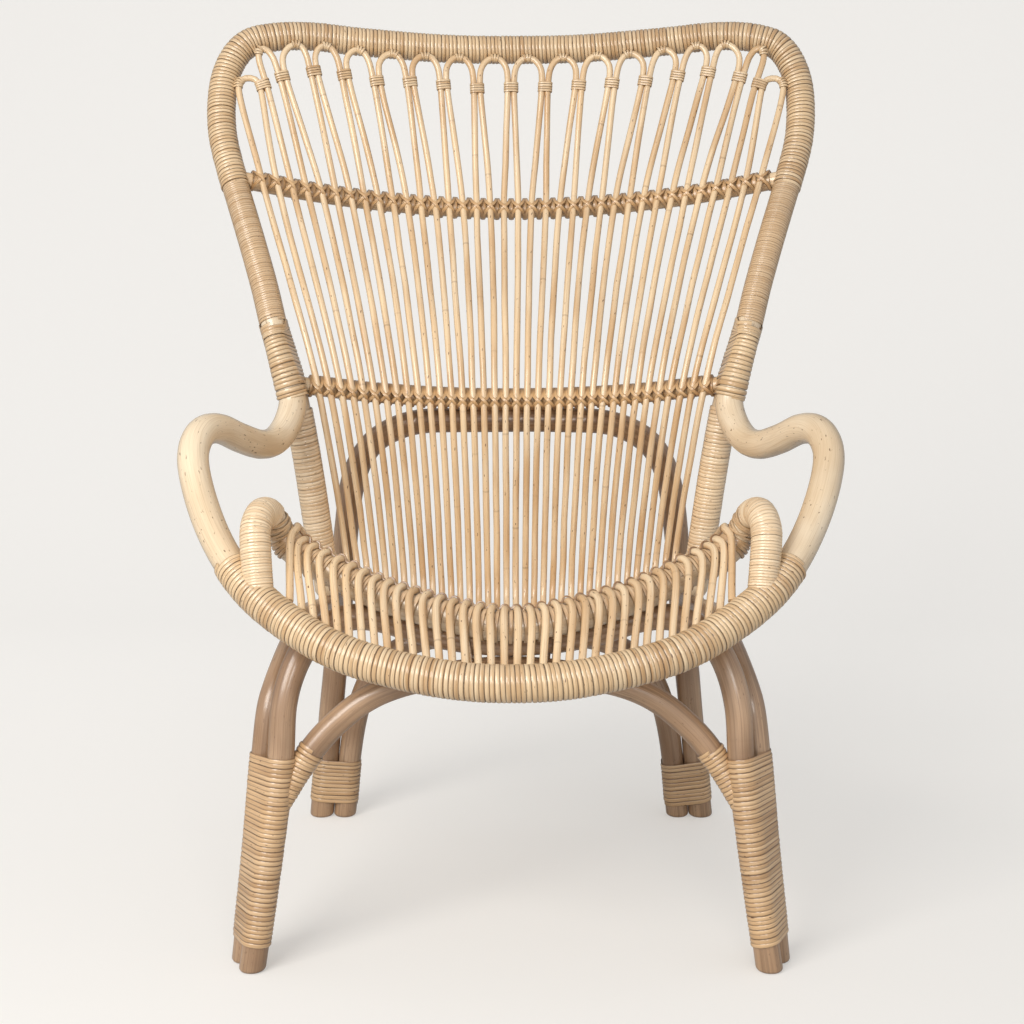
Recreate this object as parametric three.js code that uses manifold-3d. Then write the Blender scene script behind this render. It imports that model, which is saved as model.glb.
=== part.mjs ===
// Peacock chair: bent rattan poles, bound joints and eighteen hairpin canes.
// Millimetres. X runs across the chair, Y from front to back, Z up from the floor.
import * as THREE from 'three';
import Module from 'manifold-3d';
import { mergeVertices } from 'three/addons/utils/BufferGeometryUtils.js';

const wasm = await Module();
wasm.setup();

// Clearances: between pieces that touch, in the bore round two poles, under a cane, where an end
// is coped to a binding, and beside the arm's end in its joint
const SEAT_GAP = 0.3;
const PAIR_GAP = 0.3;
const CANE_GAP = 0.6;
const COPE_GAP = 0.6;
const BUNDLE_ROOM = 1.5;

// Pole and cane radii
const HOOP_RADIUS = 16;
const ARM_RADIUS = 17.5;
const ARM_TIP_RADIUS = 11;
const CREST_RADIUS = 14.5;
const FRONT_ARCH_RADIUS = 14.5;
const BEARER_RADIUS = 14;
const BRACE_RADIUS = 14;
const BOW_RADIUS = 16;
const REAR_ARCH_RADIUS = 15;
const BACK_RAIL_RADIUS = 11;
const SEAT_RAIL_RADIUS = 12;
const CANE_RADIUS = 4.2;

// Binding strip: its thickness, the groove between turns, and the flat kind
const STRIP_THICKNESS = 3;
const STRIP_GROOVE = 1.5;
const FLAT_STRIP_THICKNESS = 1.5;
const LEG_STRIP_THICKNESS = 2;
const LEG_STRIP_GROOVE = 1.2;
const LASHING_RISE = 2;

// Back hoop: half width, depths and heights of its centre line
const HOOP_HALF_WIDTH = 380;
const HOOP_WAIST_Y = 406;
const HOOP_TOP_Y = 655;
const HOOP_FOOT_Z = 326;
const HOOP_EAR_Z = 1042;
const BACK_LEAN = THREE.MathUtils.degToRad(27);

// Arm and rim pole
const ARM_HALF_WIDTH = 354;
const RIM_FRONT_Y = -70;
const ARM_NECK_Y = 345;
const RIM_LOW_Z = 337;
const ARM_TOP_Z = 566;
const ARM_JOINT_LOW_Z = 575;
const ARM_END_Z = 652;

// Crest rail with its two hooks, which stand inside the arms
const HOOK_FOOT_INSET = 91;
const HOOK_INSET = 82;
const CREST_FRONT_Y = 20;
const HOOK_BACK_Y = 98;
const CREST_LOW_Z = 375;
const HOOK_TOP_Z = 490;

// Front leg arch and the side bearers bound to its legs
const FRONT_FOOT_HALF = 280;
const FRONT_ARCH_BACK_Y = 72;
const FRONT_ARCH_TOP_Z = 374;
const BEARER_FOOT_OFFSET = 12;
const BEARER_TOP_OFFSET = 20;
const BEARER_TOP_Z = 340;
const BEARER_REAR_Z = 304;
const BEARER_SEAT_REACH = 24;

// Front brace
const BRACE_FOOT_Z = 153;

// Back bow and rear leg arch
const REAR_FOOT_HALF = 258;
const REAR_FOOT_Y = 514;
const BOW_SHOULDER_Y = 468;
const REAR_ARCH_TOP_Y = 495;
const REAR_ARCH_TOP_Z = 258;

// Cross rails: height at the hoop, bow to the back and sag in the middle
const UPPER_RAIL_Z = 854;
const UPPER_RAIL_BOW = 68;
const UPPER_RAIL_SAG = 40;
const MIDDLE_RAIL_Z = 597;
const MIDDLE_RAIL_BOW = 51;
const MIDDLE_RAIL_SAG = 24;
const SEAT_RAIL_Z = 349;
const SEAT_RAIL_BOW = 22;
const SEAT_RAIL_SAG = 60;

// Hairpin canes: how far the outermost ones stand in from each rail's end and from the hooks,
// and the loop and neck places on the hoop
const LOOPS = 18;
const UPPER_INSET = 31.2;
const MIDDLE_INSET = 27.5;
const REAR_INSET = 22.9;
const CREST_INSET = 22;
const RIM_INSET = 14;
const JOINT_FADE_SHARE = 0.35;
const OUTER_TIE_REACH = 430;
const OUTER_TIE_LIFT = 10;
const NECK_DROP = 46;
const OUTER_NECK_DROP = 55;
const NECK_LIFT = 8;
const NECK_GAP = 0.9;
const CROWN_DROP = 20;
const OUTER_CROWN_DROP = 34;
const CROWN_HANDLE = 9;
const NECK_HANDLE = 14;
const HANDLE_SHARE = 0.45;
const SEAT_BEND_RADIUS = 45;

// Heights and places where the bindings start and stop
const FOOT_CHAMFER = 2.5;
const FRONT_BINDING_LOW_Z = 26;
const FRONT_BINDING_HIGH_Z = 235;
const REAR_BINDING_LOW_Z = 20;
const REAR_BINDING_HIGH_Z = 84;
const FOOT_BINDING_LOW_Z = 372;
const FOOT_BINDING_HIGH_Z = 568;
const JOINT_BINDING_LOW_Z = 578;
const JOINT_BINDING_HIGH_Z = 676;
const HOOP_BINDING_LOW_Z = 840;
const BINDING_SPACE = 1.5;
const RIM_BINDING_HIGH_Z = 437;
const HOOK_BINDING_INSET = 11;
const BRACE_BINDING_SHOWN = 5.5;
const BRACE_COPE_REACH = 28;
const BRACE_LASHING_X = 45;
const BRACE_LASHING_WIDTH = 14;

// Turns of each binding
const RIM_TURNS = 37;
const HOOP_TURNS = 46;
const FRONT_LEG_TURNS = 16;
const REAR_LEG_TURNS = 6;
const FOOT_TURNS = 12;
const JOINT_TURNS = 9;
const HOOK_TURNS = 10;
const BRACE_TURNS = 5;
const LASHING_TURNS = 2;

// Parts of a turn left plain before the ridge of a binding, and at both of its ends
const LEAD_TURNS = 0.25;
const PLAIN_TURNS = 1.5;

// Facets: sides of a pole, a bundle and a cane, and how far a chord may leave its curve
const POLE_SIDES = 8;
const RAIL_SIDES = 6;
const BUNDLE_SIDES = 8;
const CANE_SIDES = 5;
const JOINT_RINGS = 6;
const LEG_RINGS = 6;
const CHORD_SAG = 1.3;
const CHORD_FACTOR = 8;
const SAMPLES = 400;
const LOOP_STEPS = 3;
const BEND_STEPS = 3;
const CREST_STEPS = 2;
const SEAT_PASSES = 4;
const CREST_WRAP = THREE.MathUtils.degToRad(36);

// Shares of half width, depth and height for each bent pole, from the middle outward
const HOOP_SHARES = [
  [0, 1, 0.979], [0.146, 0.988, 0.979], [0.427, 0.948, 0.986], [0.705, 0.884, 1],
  [0.824, 0.839, 0.997], [0.915, 0.803, 0.984], [0.97, 0.759, 0.95], [0.996, 0.699, 0.898],
  [0.987, 0.58, 0.81], [0.931, 0.434, 0.716], [0.871, 0.289, 0.628], [0.825, 0.184, 0.555],
  [0.785, 0.08, 0.482],
  [0.706, 0, 0.344], [0.645, 0.072, 0.1], [0.621, 0.096, 0],
];
const ARM_SHARES = [
  [0, 0, 0], [0.146, 0.01, 0.007], [0.288, 0.036, 0.031], [0.515, 0.096, 0.11],
  [0.668, 0.169, 0.219], [0.788, 0.241, 0.341], [0.9, 0.347, 0.533], [0.945, 0.41, 0.659],
  [0.987, 0.477, 0.81], [1, 0.535, 0.928], [0.98, 0.602, 0.997], [0.939, 0.687, 0.989],
  [0.884, 0.8, 0.909], [0.827, 0.916, 0.862], [0.788, 1, 0.907],
];
const ARM_END_SHARES = [0, 0.33, 0.67, 1];
const RAIL_SHARES = [0, 0.25, 0.5, 0.75, 1];
const CREST_SHARES = [
  [0, 0, 0], [0.279, 0.192, 0.08], [0.543, 0.513, 0.234], [0.724, 0.744, 0.415],
  [0.869, 0.962, 0.58], [0.921, 1, 0.741], [0.955, 0.833, 0.944], [0.983, 0.577, 1],
  [1, 0.321, 0.869], [0.99, 0.154, 0.606],
];
const FRONT_ARCH_SHARES = [
  [0.273, 0.833, 0.952], [0.527, 1, 0.998], [0.639, 0.972, 0.999], [0.747, 0.806, 0.965],
  [0.818, 0.556, 0.893], [0.864, 0.361, 0.786], [0.881, 0.278, 0.627], [0.9375, 0.139, 0.313],
  [1, 0, 0],
];
const BEARER_SHARES = [
  [0.929, 0.072, 0.84], [0.9, 0.13, 0.92], [0.871, 0.26, 0.985], [0.858, 0.5, 1],
  [0.856, 0.75, 0.955],
];
const BRACE_SHARES = [
  [0.381, 0.909, 0.922], [0.529, 0.864, 0.835], [0.634, 0.818, 0.718], [0.721, 0.75, 0.569],
  [0.792, 0.66, 0.442], [0.829, 0.57, 0.321], [0.861, 0.475, 0.199], [0.891, 0.38, 0.091],
];
const BOW_SHARES = [
  [0.45, 1, 0.998], [0.58, 0.87, 0.98], [0.7, 0.7, 0.942], [0.785, 0.58, 0.875],
  [0.839, 0.348, 0.742], [0.876, 0.217, 0.554], [0.922, 0.087, 0.351], [0.961, 0.043, 0.175],
  [1, 0, 0],
];
const NECK_SHARES = [0, 0.111, 0.215, 0.319, 0.422, 0.522, 0.626, 0.746, 0.991, 1];
const CROWN_SHARES = [0.055, 0.164, 0.268, 0.373, 0.478, 0.582, 0.679, 0.8, 0.949];
const REAR_ARCH_SHARES = [
  [0, 1, 1], [0.426, 0.895, 0.969], [0.627, 0.737, 0.879], [0.743, 0.526, 0.737],
  [0.806, 0.316, 0.55],
];

// Colours of peeled cane, binding and the darker leg poles
const CANE = { color: 0xdcbc8c, roughness: 0.45, metalness: 0 };
const BINDING = { color: 0xe2c698, roughness: 0.5, metalness: 0 };
const SMOOTH_POLE = { color: 0xd6b98c, roughness: 0.42, metalness: 0 };
const LEG_POLE = { color: 0xb3977a, roughness: 0.5, metalness: 0 };

const FRONT = new THREE.Vector3(0, -1, 0);
const UP = new THREE.Vector3(0, 0, 1);
const SIDES = [['left', -1], ['right', 1]];

const vec = (x, y, z) => new THREE.Vector3(x, y, z);
const mix = THREE.MathUtils.lerp;
const flip = (p) => vec(-p.x, p.y, p.z);
const along = (p, direction, distance) => p.clone().addScaledVector(direction, distance);

// Places named by shares of a half width, a depth span and a height span
function placed(shares, halfWidth, [front, back], [low, high]) {
  return shares.map(([x, y, z]) => vec(halfWidth * x, mix(front, back, y), mix(low, high, z)));
}

// A whole pole from its right half, which starts in the middle plane
function mirrored(half) {
  return [...half.slice(1).map(flip).reverse(), ...half];
}

// A pole's centre line, with frames carried outward from its middle without twist
class Path {
  constructor(points, reference) {
    this.curve = new THREE.CatmullRomCurve3(points, false, 'centripetal');
    this.curve.arcLengthDivisions = SAMPLES;
    this.length = this.curve.getLength();
    this.points = this.curve.getSpacedPoints(SAMPLES);
    this.tangents = this.points.map((_, i) => this.curve.getTangentAt(i / SAMPLES));
    this.normals = carryFrames(this.tangents, reference, SAMPLES / 2);
    this.marks = [];
    this.stations = null;
  }

  // Point, tangent and normals at a distance from the start
  frame(distance) {
    const place = THREE.MathUtils.clamp(distance / this.length, 0, 1);
    const i = Math.min(Math.floor(place * SAMPLES), SAMPLES - 1);
    const t = place * SAMPLES - i;
    const point = this.points[i].clone().lerp(this.points[i + 1], t);
    const tangent = this.tangents[i].clone().lerp(this.tangents[i + 1], t).normalize();
    const normal = square(this.normals[i].clone().lerp(this.normals[i + 1], t), tangent);
    return { point, tangent, normal, side: tangent.clone().cross(normal) };
  }

  // Distance at which the measure first reaches a value, going from one end or the middle
  find(measure, value, start, step) {
    let i = start;
    const sign = Math.sign(value - measure(this.points[i]));
    while (sign * (value - measure(this.points[i + step])) > 0) i += step;
    const a = measure(this.points[i]);
    const b = measure(this.points[i + step]);
    return ((i + step * ((value - a) / (b - a))) / SAMPLES) * this.length;
  }

  atHeight(z, side) {
    return side < 0 ? this.find((p) => p.z, z, 0, 1) : this.find((p) => p.z, z, SAMPLES, -1);
  }

  atWidth(x) {
    return this.find((p) => p.x, x, SAMPLES / 2, Math.sign(x) || 1);
  }

  // Ring places: every mark, and between marks as close as the bend asks
  settle() {
    const crowding = [0];
    for (let i = 1; i <= SAMPLES; i += 1) {
      const turn = this.tangents[i].angleTo(this.tangents[i - 1]);
      const step = this.length / SAMPLES;
      crowding.push(crowding[i - 1] + Math.sqrt((turn * step) / (CHORD_SAG * CHORD_FACTOR)));
    }
    const crowd = (s) => {
      const place = (s / this.length) * SAMPLES;
      const i = Math.min(Math.floor(place), SAMPLES - 1);
      return mix(crowding[i], crowding[i + 1], place - i);
    };
    const stops = [0, ...this.marks, this.length].sort((a, b) => a - b);
    this.stations = [0];
    for (let n = 1; n < stops.length; n += 1) {
      const [from, to] = [stops[n - 1], stops[n]];
      const count = Math.max(1, Math.ceil(crowd(to) - crowd(from)));
      let i = 0;
      for (let k = 1; k < count; k += 1) {
        const target = mix(crowd(from), crowd(to), k / count);
        while (crowding[i] < target) i += 1;
        this.stations.push((i / SAMPLES) * this.length);
      }
      this.stations.push(to);
    }
    this.rings = this.stations.map((s) => this.frame(s));
    return this;
  }

  // Frame on the chords between rings, which every sleeve on the pole follows
  chord(distance) {
    let k = 1;
    while (k < this.stations.length - 1 && this.stations[k] < distance) k += 1;
    const [from, to] = [this.stations[k - 1], this.stations[k]];
    const t = (distance - from) / (to - from);
    const [a, b] = [this.rings[k - 1], this.rings[k]];
    const blend = (key) => a[key].clone().lerp(b[key], t);
    return { point: blend('point'), tangent: blend('tangent').normalize(), normal: blend('normal'),
      side: blend('side') };
  }

  between(from, to) {
    return [from, ...this.stations.filter((s) => s > from && s < to), to];
  }
}

function square(direction, tangent) {
  return direction.addScaledVector(tangent, -direction.dot(tangent)).normalize();
}

function carryFrames(tangents, reference, middle) {
  const normals = [];
  normals[middle] = square(reference.clone(), tangents[middle]);
  for (let i = middle + 1; i < tangents.length; i += 1) {
    normals[i] = square(normals[i - 1].clone(), tangents[i]);
  }
  for (let i = middle - 1; i >= 0; i -= 1) normals[i] = square(normals[i + 1].clone(), tangents[i]);
  return normals;
}

// A closed surface put together from rings of points
class Surface {
  constructor() {
    this.points = [];
    this.faces = [];
  }

  ring(points) {
    this.points.push(...points);
    return this.points.length - points.length;
  }

  face(...corners) {
    for (let i = 2; i < corners.length; i += 1) this.faces.push(corners[0], corners[i - 1], corners[i]);
  }

  band(a, b, sides) {
    for (let j = 0; j < sides; j += 1) {
      const k = (j + 1) % sides;
      this.face(a + j, a + k, b + k, b + j);
    }
  }

  cap(a, sides, reversed) {
    const corners = Array.from({ length: sides }, (_, j) => a + j);
    this.face(...(reversed ? corners.reverse() : corners));
  }

  // The geometry, with its faces turned outward
  build() {
    let volume = 0;
    for (let i = 0; i < this.faces.length; i += 3) {
      const [a, b, c] = this.faces.slice(i, i + 3).map((n) => this.points[n]);
      volume += a.dot(b.clone().cross(c));
    }
    const index = volume > 0 ? this.faces : [...this.faces].reverse();
    const geometry = new THREE.BufferGeometry();
    const corners = this.points.flatMap((p) => p.toArray());
    geometry.setAttribute('position', new THREE.Float32BufferAttribute(corners, 3));
    geometry.setIndex(index);
    geometry.computeVertexNormals();
    return geometry;
  }
}

// A radius along a pole, which may be one number all the way
function asFunction(radius) {
  return typeof radius === 'function' ? radius : () => radius;
}

// Section of one round pole: the point at a side number, grown from the pole's radius
function poleSection(path, radius, sides) {
  const radiusAt = asFunction(radius);
  return (distance, j, grow) => {
    const { point, normal, side } = path.chord(distance);
    const angle = (j / sides) * 2 * Math.PI;
    const reach = radiusAt(distance) + grow / Math.cos(Math.PI / sides);
    return along(along(point, normal, Math.cos(angle) * reach), side, Math.sin(angle) * reach);
  };
}

// Section round two poles side by side; the fade brings the second one in to the first
function bundleSection(path, radius, other, otherRadius, sides, fade = () => 1) {
  const line = other.rings.map((ring) => ring.point);
  const otherAt = asFunction(otherRadius);
  return (distance, j, grow) => {
    const { point, tangent } = path.chord(distance);
    const { found, place } = crossPlane(line, point, tangent);
    const axis = square(found.clone().sub(point), tangent);
    const share = fade(distance);
    const centre = point.clone().lerp(found, share);
    const k = Math.min(Math.floor(place), line.length - 2);
    const lean = line[k + 1].clone().sub(line[k]).normalize().dot(tangent);
    const second = otherAt(mix(other.stations[k], other.stations[k + 1], place - k));
    const angle = ((j + 0.5) / sides) * 2 * Math.PI;
    const outward = axis.clone().multiplyScalar(Math.cos(angle));
    outward.addScaledVector(tangent.clone().cross(axis), Math.sin(angle));
    const far = Math.cos(angle) > 0;
    const reach = (far ? mix(radius, second / Math.abs(lean), share) : radius) + grow;
    return along(far ? centre : point, outward, reach / Math.cos(Math.PI / sides));
  };
}

// Where a line of points crosses the plane through a point; its nearer end if it stops short
function crossPlane(points, point, tangent) {
  const rise = (p) => p.clone().sub(point).dot(tangent);
  const last = points.length - 1;
  const end = points[0].distanceTo(point) < points[last].distanceTo(point) ? 0 : last;
  let best = { found: points[end], place: end };
  for (let i = 1; i <= last; i += 1) {
    const [low, high] = [rise(points[i - 1]), rise(points[i])];
    if (low * high <= 0 && low !== high) {
      const t = low / (low - high);
      const found = points[i - 1].clone().lerp(points[i], t);
      if (found.distanceTo(point) < best.found.distanceTo(point)) best = { found, place: i - 1 + t };
    }
  }
  return { found: along(best.found, tangent, -rise(best.found)), place: best.place };
}

// Give two paths that are bound together rings in the same planes
function pair(path, other, [from, to], count) {
  for (let n = 0; n <= count; n += 1) {
    const s = mix(from, to, n / count);
    const { point, tangent } = path.frame(s);
    const { place } = crossPlane(other.points, point, tangent);
    path.marks.push(s);
    if (place > 0 && place < SAMPLES) other.marks.push((place / SAMPLES) * other.length);
  }
}

// A solid pole along its path; footed ends are cut level with a chamfer
function poleGeometry(path, radius, { sides = POLE_SIDES, foot = null } = {}) {
  const surface = new Surface();
  const section = poleSection(path, radius, sides);
  const rings = path.stations.map((s) => Array.from({ length: sides }, (_, j) => section(s, j, 0)));
  if (foot) {
    for (const end of foot.ends) levelFoot(path, radius, rings, end, foot.z, foot.chamfer);
  }
  const starts = rings.map((points) => surface.ring(points));
  for (let k = 1; k < starts.length; k += 1) surface.band(starts[k - 1], starts[k], sides);
  surface.cap(starts[0], sides, true);
  surface.cap(starts[starts.length - 1], sides, false);
  return surface.build();
}

// Replace an end ring by two level rings, the lower one drawn in by the chamfer
function levelFoot(path, radius, rings, end, z, chamfer) {
  const last = end === 'start' ? 0 : rings.length - 1;
  const { point, tangent } = end === 'start' ? path.rings[0] : path.rings[path.rings.length - 1];
  const level = (p, height) => along(p, tangent, (height - p.z) / tangent.z);
  const centre = level(point, z);
  const upper = rings[last].map((p) => level(p, z + chamfer));
  const lower = rings[last].map((p) => centre.clone().lerp(level(p, z), (radius - chamfer) / radius));
  if (end === 'start') rings.splice(0, 1, lower, upper);
  else rings.splice(last, 1, upper, lower);
}

const CANE_STRIP = { thickness: STRIP_THICKNESS, groove: STRIP_GROOVE };
const LEG_STRIP = { thickness: LEG_STRIP_THICKNESS, groove: LEG_STRIP_GROOVE };

// A binding: a sleeve whose outer face is one ridge wound round from end to end
function boundSleeve(section, [from, to], bore, turns, sides, strip = CANE_STRIP) {
  const surface = new Surface();
  const valley = SEAT_GAP + strip.thickness - strip.groove;
  const ridge = SEAT_GAP + strip.thickness;
  const pitch = (to - from) / (turns + PLAIN_TURNS);
  const ringOf = (s, grow) => surface.ring(Array.from({ length: sides }, (_, j) => section(s, j, grow)));
  const entries = 2 * turns;
  const columns = Array.from({ length: sides }, (_, j) => surface.ring(
    Array.from({ length: entries + 1 }, (__, i) => {
      const s = from + pitch * (LEAD_TURNS + j / sides + i / 2);
      return section(s, j, i % 2 ? ridge : valley);
    })));
  for (let j = 0; j < sides; j += 1) {
    const last = j === sides - 1;
    const [a, b] = [columns[j], last ? columns[0] + 2 : columns[j + 1]];
    for (let i = 0; i < entries - (last ? 2 : 0); i += 1) surface.face(a + i, b + i, b + i + 1, a + i + 1);
  }
  const [first, tail] = [ringOf(from, valley), ringOf(to, valley)];
  const [open, shut] = [columns[0], columns[sides - 1]];
  for (let j = 0; j < sides - 1; j += 1) {
    surface.face(first + j, first + j + 1, columns[j + 1], columns[j]);
    surface.face(columns[j] + entries, columns[j + 1] + entries, tail + j + 1, tail + j);
  }
  surface.face(shut, first + sides - 1, first, open, open + 1, open + 2);
  surface.face(open + entries, tail, tail + sides - 1, shut + entries, shut + entries - 1, shut + entries - 2);
  closeBore(surface, section, bore, first, tail, sides);
  return surface.build();
}

// A plain sleeve of one thickness
function flatSleeve(section, bore, thickness, sides) {
  const surface = new Surface();
  const rings = bore.map((s) => surface.ring(
    Array.from({ length: sides }, (_, j) => section(s, j, SEAT_GAP + thickness))));
  for (let k = 1; k < rings.length; k += 1) surface.band(rings[k - 1], rings[k], sides);
  closeBore(surface, section, bore, rings[0], rings[rings.length - 1], sides);
  return surface.build();
}

function closeBore(surface, section, bore, first, last, sides) {
  const rings = bore.map((s) => surface.ring(
    Array.from({ length: sides }, (_, j) => section(s, j, SEAT_GAP))));
  for (let k = 1; k < rings.length; k += 1) surface.band(rings[k], rings[k - 1], sides);
  surface.band(rings[0], first, sides);
  surface.band(last, rings[rings.length - 1], sides);
}

// A solid that fills a bound stretch, grown a little, to cope other ends against it
function envelope(section, stations, sides, grow = SEAT_GAP + STRIP_THICKNESS + COPE_GAP) {
  const surface = new Surface();
  const rings = stations.map((s) => surface.ring(
    Array.from({ length: sides }, (_, j) => section(s, j, grow))));
  for (let k = 1; k < rings.length; k += 1) surface.band(rings[k - 1], rings[k], sides);
  surface.cap(rings[0], sides, true);
  surface.cap(rings[rings.length - 1], sides, false);
  return surface.build();
}

function toSolid(geometry) {
  const bare = geometry.clone();
  bare.deleteAttribute('normal');
  const merged = mergeVertices(bare);
  const vertProperties = new Float32Array(merged.attributes.position.array);
  return new wasm.Manifold(new wasm.Mesh({
    numProp: 3, vertProperties, triVerts: new Uint32Array(merged.index.array) }));
}

function coped(geometry, cutters) {
  let solid = toSolid(geometry);
  for (const cutter of cutters) solid = solid.subtract(toSolid(cutter));
  const mesh = solid.getMesh();
  const result = new THREE.BufferGeometry();
  result.setAttribute('position', new THREE.Float32BufferAttribute(mesh.vertProperties, 3));
  result.setIndex(Array.from(mesh.triVerts));
  result.computeVertexNormals();
  return result;
}

const chair = new THREE.Group();

function addPiece(name, geometry, finish) {
  const mesh = new THREE.Mesh(geometry, new THREE.MeshStandardMaterial(finish));
  mesh.name = name;
  chair.add(mesh);
}

// Centre lines, in the order in which each leans on the one before
const faceNormal = vec(0, -Math.cos(BACK_LEAN), Math.sin(BACK_LEAN));

const hoop = new Path(mirrored(placed(
  HOOP_SHARES, HOOP_HALF_WIDTH, [HOOP_WAIST_Y, HOOP_TOP_Y], [HOOP_FOOT_Z, HOOP_EAR_Z])), faceNormal);

function makeArmPath() {
  const half = placed(ARM_SHARES, ARM_HALF_WIDTH, [RIM_FRONT_Y, ARM_NECK_Y], [RIM_LOW_Z, ARM_TOP_Z]);
  for (const share of ARM_END_SHARES) {
    const forward = HOOP_RADIUS + mix(ARM_RADIUS, ARM_TIP_RADIUS, share) + SEAT_GAP;
    const beside = hoop.frame(hoop.atHeight(mix(ARM_JOINT_LOW_Z, ARM_END_Z, share), 1));
    const ahead = square(FRONT.clone(), beside.tangent);
    half.push(along(beside.point, ahead, forward));
  }
  return new Path(mirrored(half), UP);
}
const arm = makeArmPath();

// The arm's ends are pared down where they lie against the hoop
function armRadius(distance) {
  const fromEnd = Math.min(distance, arm.length - distance);
  const pared = arm.length - arm.atHeight(ARM_JOINT_LOW_Z, 1);
  return mix(ARM_TIP_RADIUS, ARM_RADIUS, Math.min(fromEnd / pared, 1));
}

// A cross rail between the hoop's sides, bowed to the back and sagging in the middle
function makeRailPath(z, bow, sag, reference) {
  const end = hoop.frame(hoop.atHeight(z, 1)).point;
  const half = RAIL_SHARES.map((share) => vec(
    end.x * share, end.y + bow * (1 - share * share), end.z - sag * (1 - share * share)));
  return new Path(mirrored(half), reference);
}
const boundHoop = HOOP_RADIUS + SEAT_GAP + STRIP_THICKNESS;
const upperRail = makeRailPath(UPPER_RAIL_Z, UPPER_RAIL_BOW, UPPER_RAIL_SAG, faceNormal);
const bendNormal = faceNormal.clone().add(FRONT).normalize();
const middleRail = makeRailPath(MIDDLE_RAIL_Z, MIDDLE_RAIL_BOW, MIDDLE_RAIL_SAG, bendNormal);
const seatNormal = UP.clone().add(FRONT).normalize();
const seatRail = makeRailPath(SEAT_RAIL_Z, SEAT_RAIL_BOW, SEAT_RAIL_SAG, seatNormal);

// How far out the hooks, the outermost canes and their feet on the rim stand
const hookHalf = ARM_HALF_WIDTH - HOOK_INSET;
const hookFoot = ARM_HALF_WIDTH - HOOK_FOOT_INSET;
const upperHalf = hoop.frame(hoop.atHeight(UPPER_RAIL_Z, 1)).point.x - UPPER_INSET;
const middleHalf = hoop.frame(hoop.atHeight(MIDDLE_RAIL_Z, 1)).point.x - MIDDLE_INSET;
const rearHalf = hoop.frame(hoop.atHeight(SEAT_RAIL_Z, 1)).point.x - REAR_INSET;
const crestHalf = hookHalf - CREST_INSET;
const rimHalf = hookFoot - RIM_INSET;

function makeCrestPath() {
  const half = placed(CREST_SHARES, hookHalf, [CREST_FRONT_Y, HOOK_BACK_Y], [CREST_LOW_Z, HOOK_TOP_Z]);
  half.push(arm.frame(arm.atWidth(hookFoot)).point);
  return new Path(mirrored(half), UP);
}
const crest = makeCrestPath();

function makeFrontArchPath() {
  const crown = crest.frame(crest.length / 2).point;
  const reach = CREST_RADIUS + LASHING_RISE + FRONT_ARCH_RADIUS + SEAT_GAP;
  const under = along(crown, vec(0, 1, -1).normalize(), reach);
  const half = placed(FRONT_ARCH_SHARES, FRONT_FOOT_HALF, [0, FRONT_ARCH_BACK_Y], [0, FRONT_ARCH_TOP_Z]);
  return new Path(mirrored([under, ...half]), FRONT);
}
const frontArch = makeFrontArchPath();

function makeBowPath() {
  const rail = middleRail.frame(middleRail.length / 2).point;
  const reach = BACK_RAIL_RADIUS + LASHING_RISE + BOW_RADIUS + SEAT_GAP;
  const sideways = BOW_SHOULDER_Y - rail.y;
  const crown = vec(0, BOW_SHOULDER_Y, rail.z - Math.sqrt(reach * reach - sideways * sideways));
  const half = placed(BOW_SHARES, REAR_FOOT_HALF, [REAR_FOOT_Y, BOW_SHOULDER_Y], [0, crown.z]);
  return new Path(mirrored([crown, ...half]), FRONT);
}
const bow = makeBowPath();

function makeRearArchPath() {
  const half = placed(REAR_ARCH_SHARES, REAR_FOOT_HALF, [REAR_FOOT_Y, REAR_ARCH_TOP_Y], [0, REAR_ARCH_TOP_Z]);
  const inward = BOW_RADIUS + REAR_ARCH_RADIUS + SEAT_GAP;
  const beside = (z) => bow.frame(bow.atHeight(z, 1)).point.add(vec(-inward, 0, 0));
  half.push(beside(REAR_BINDING_HIGH_Z + REAR_ARCH_RADIUS), beside(REAR_BINDING_LOW_Z), beside(SEAT_GAP));
  half[half.length - 1].z = 0;
  return new Path(mirrored(half), FRONT);
}
const rearArch = makeRearArchPath();

function makeBearerPath(side) {
  const apart = FRONT_ARCH_RADIUS + BEARER_RADIUS + SEAT_GAP;
  const behind = (offset) => Math.sqrt(apart * apart - offset * offset);
  const legPlaces = placed(FRONT_ARCH_SHARES.slice(-3), FRONT_FOOT_HALF,
    [0, FRONT_ARCH_BACK_Y], [0, FRONT_ARCH_TOP_Z]).reverse();
  const leg = legPlaces.map((p, n) => {
    const offset = mix(BEARER_FOOT_OFFSET, BEARER_TOP_OFFSET, n / (legPlaces.length - 1));
    return p.add(vec(offset, behind(offset), 0));
  });
  const foot = hoop.frame(hoop.length).point;
  const level = HOOP_FOOT_Z - SEAT_GAP - BEARER_RADIUS;
  const run = placed(BEARER_SHARES, FRONT_FOOT_HALF, [behind(BEARER_TOP_OFFSET), foot.y], [0, BEARER_TOP_Z]);
  const seat = [-1, 0, 1].map((n) => vec(foot.x, foot.y + n * BEARER_SEAT_REACH, level));
  const stop = bow.frame(bow.atHeight(BEARER_REAR_Z, 1)).point;
  const points = [...leg, ...run, ...seat, stop];
  return new Path(side < 0 ? points.map(flip) : points, UP);
}
const bearers = { left: makeBearerPath(-1), right: makeBearerPath(1) };

function makeBracePath() {
  const crown = frontArch.frame(frontArch.length / 2).point;
  crown.z -= FRONT_ARCH_RADIUS + BRACE_RADIUS + SEAT_GAP;
  const foot = frontArch.frame(frontArch.atHeight(BRACE_FOOT_Z, 1)).point;
  const half = placed(BRACE_SHARES, FRONT_FOOT_HALF, [0, crown.y], [foot.z, crown.z]);
  return new Path(mirrored([crown, ...half, foot]), FRONT);
}
const brace = makeBracePath();

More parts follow.
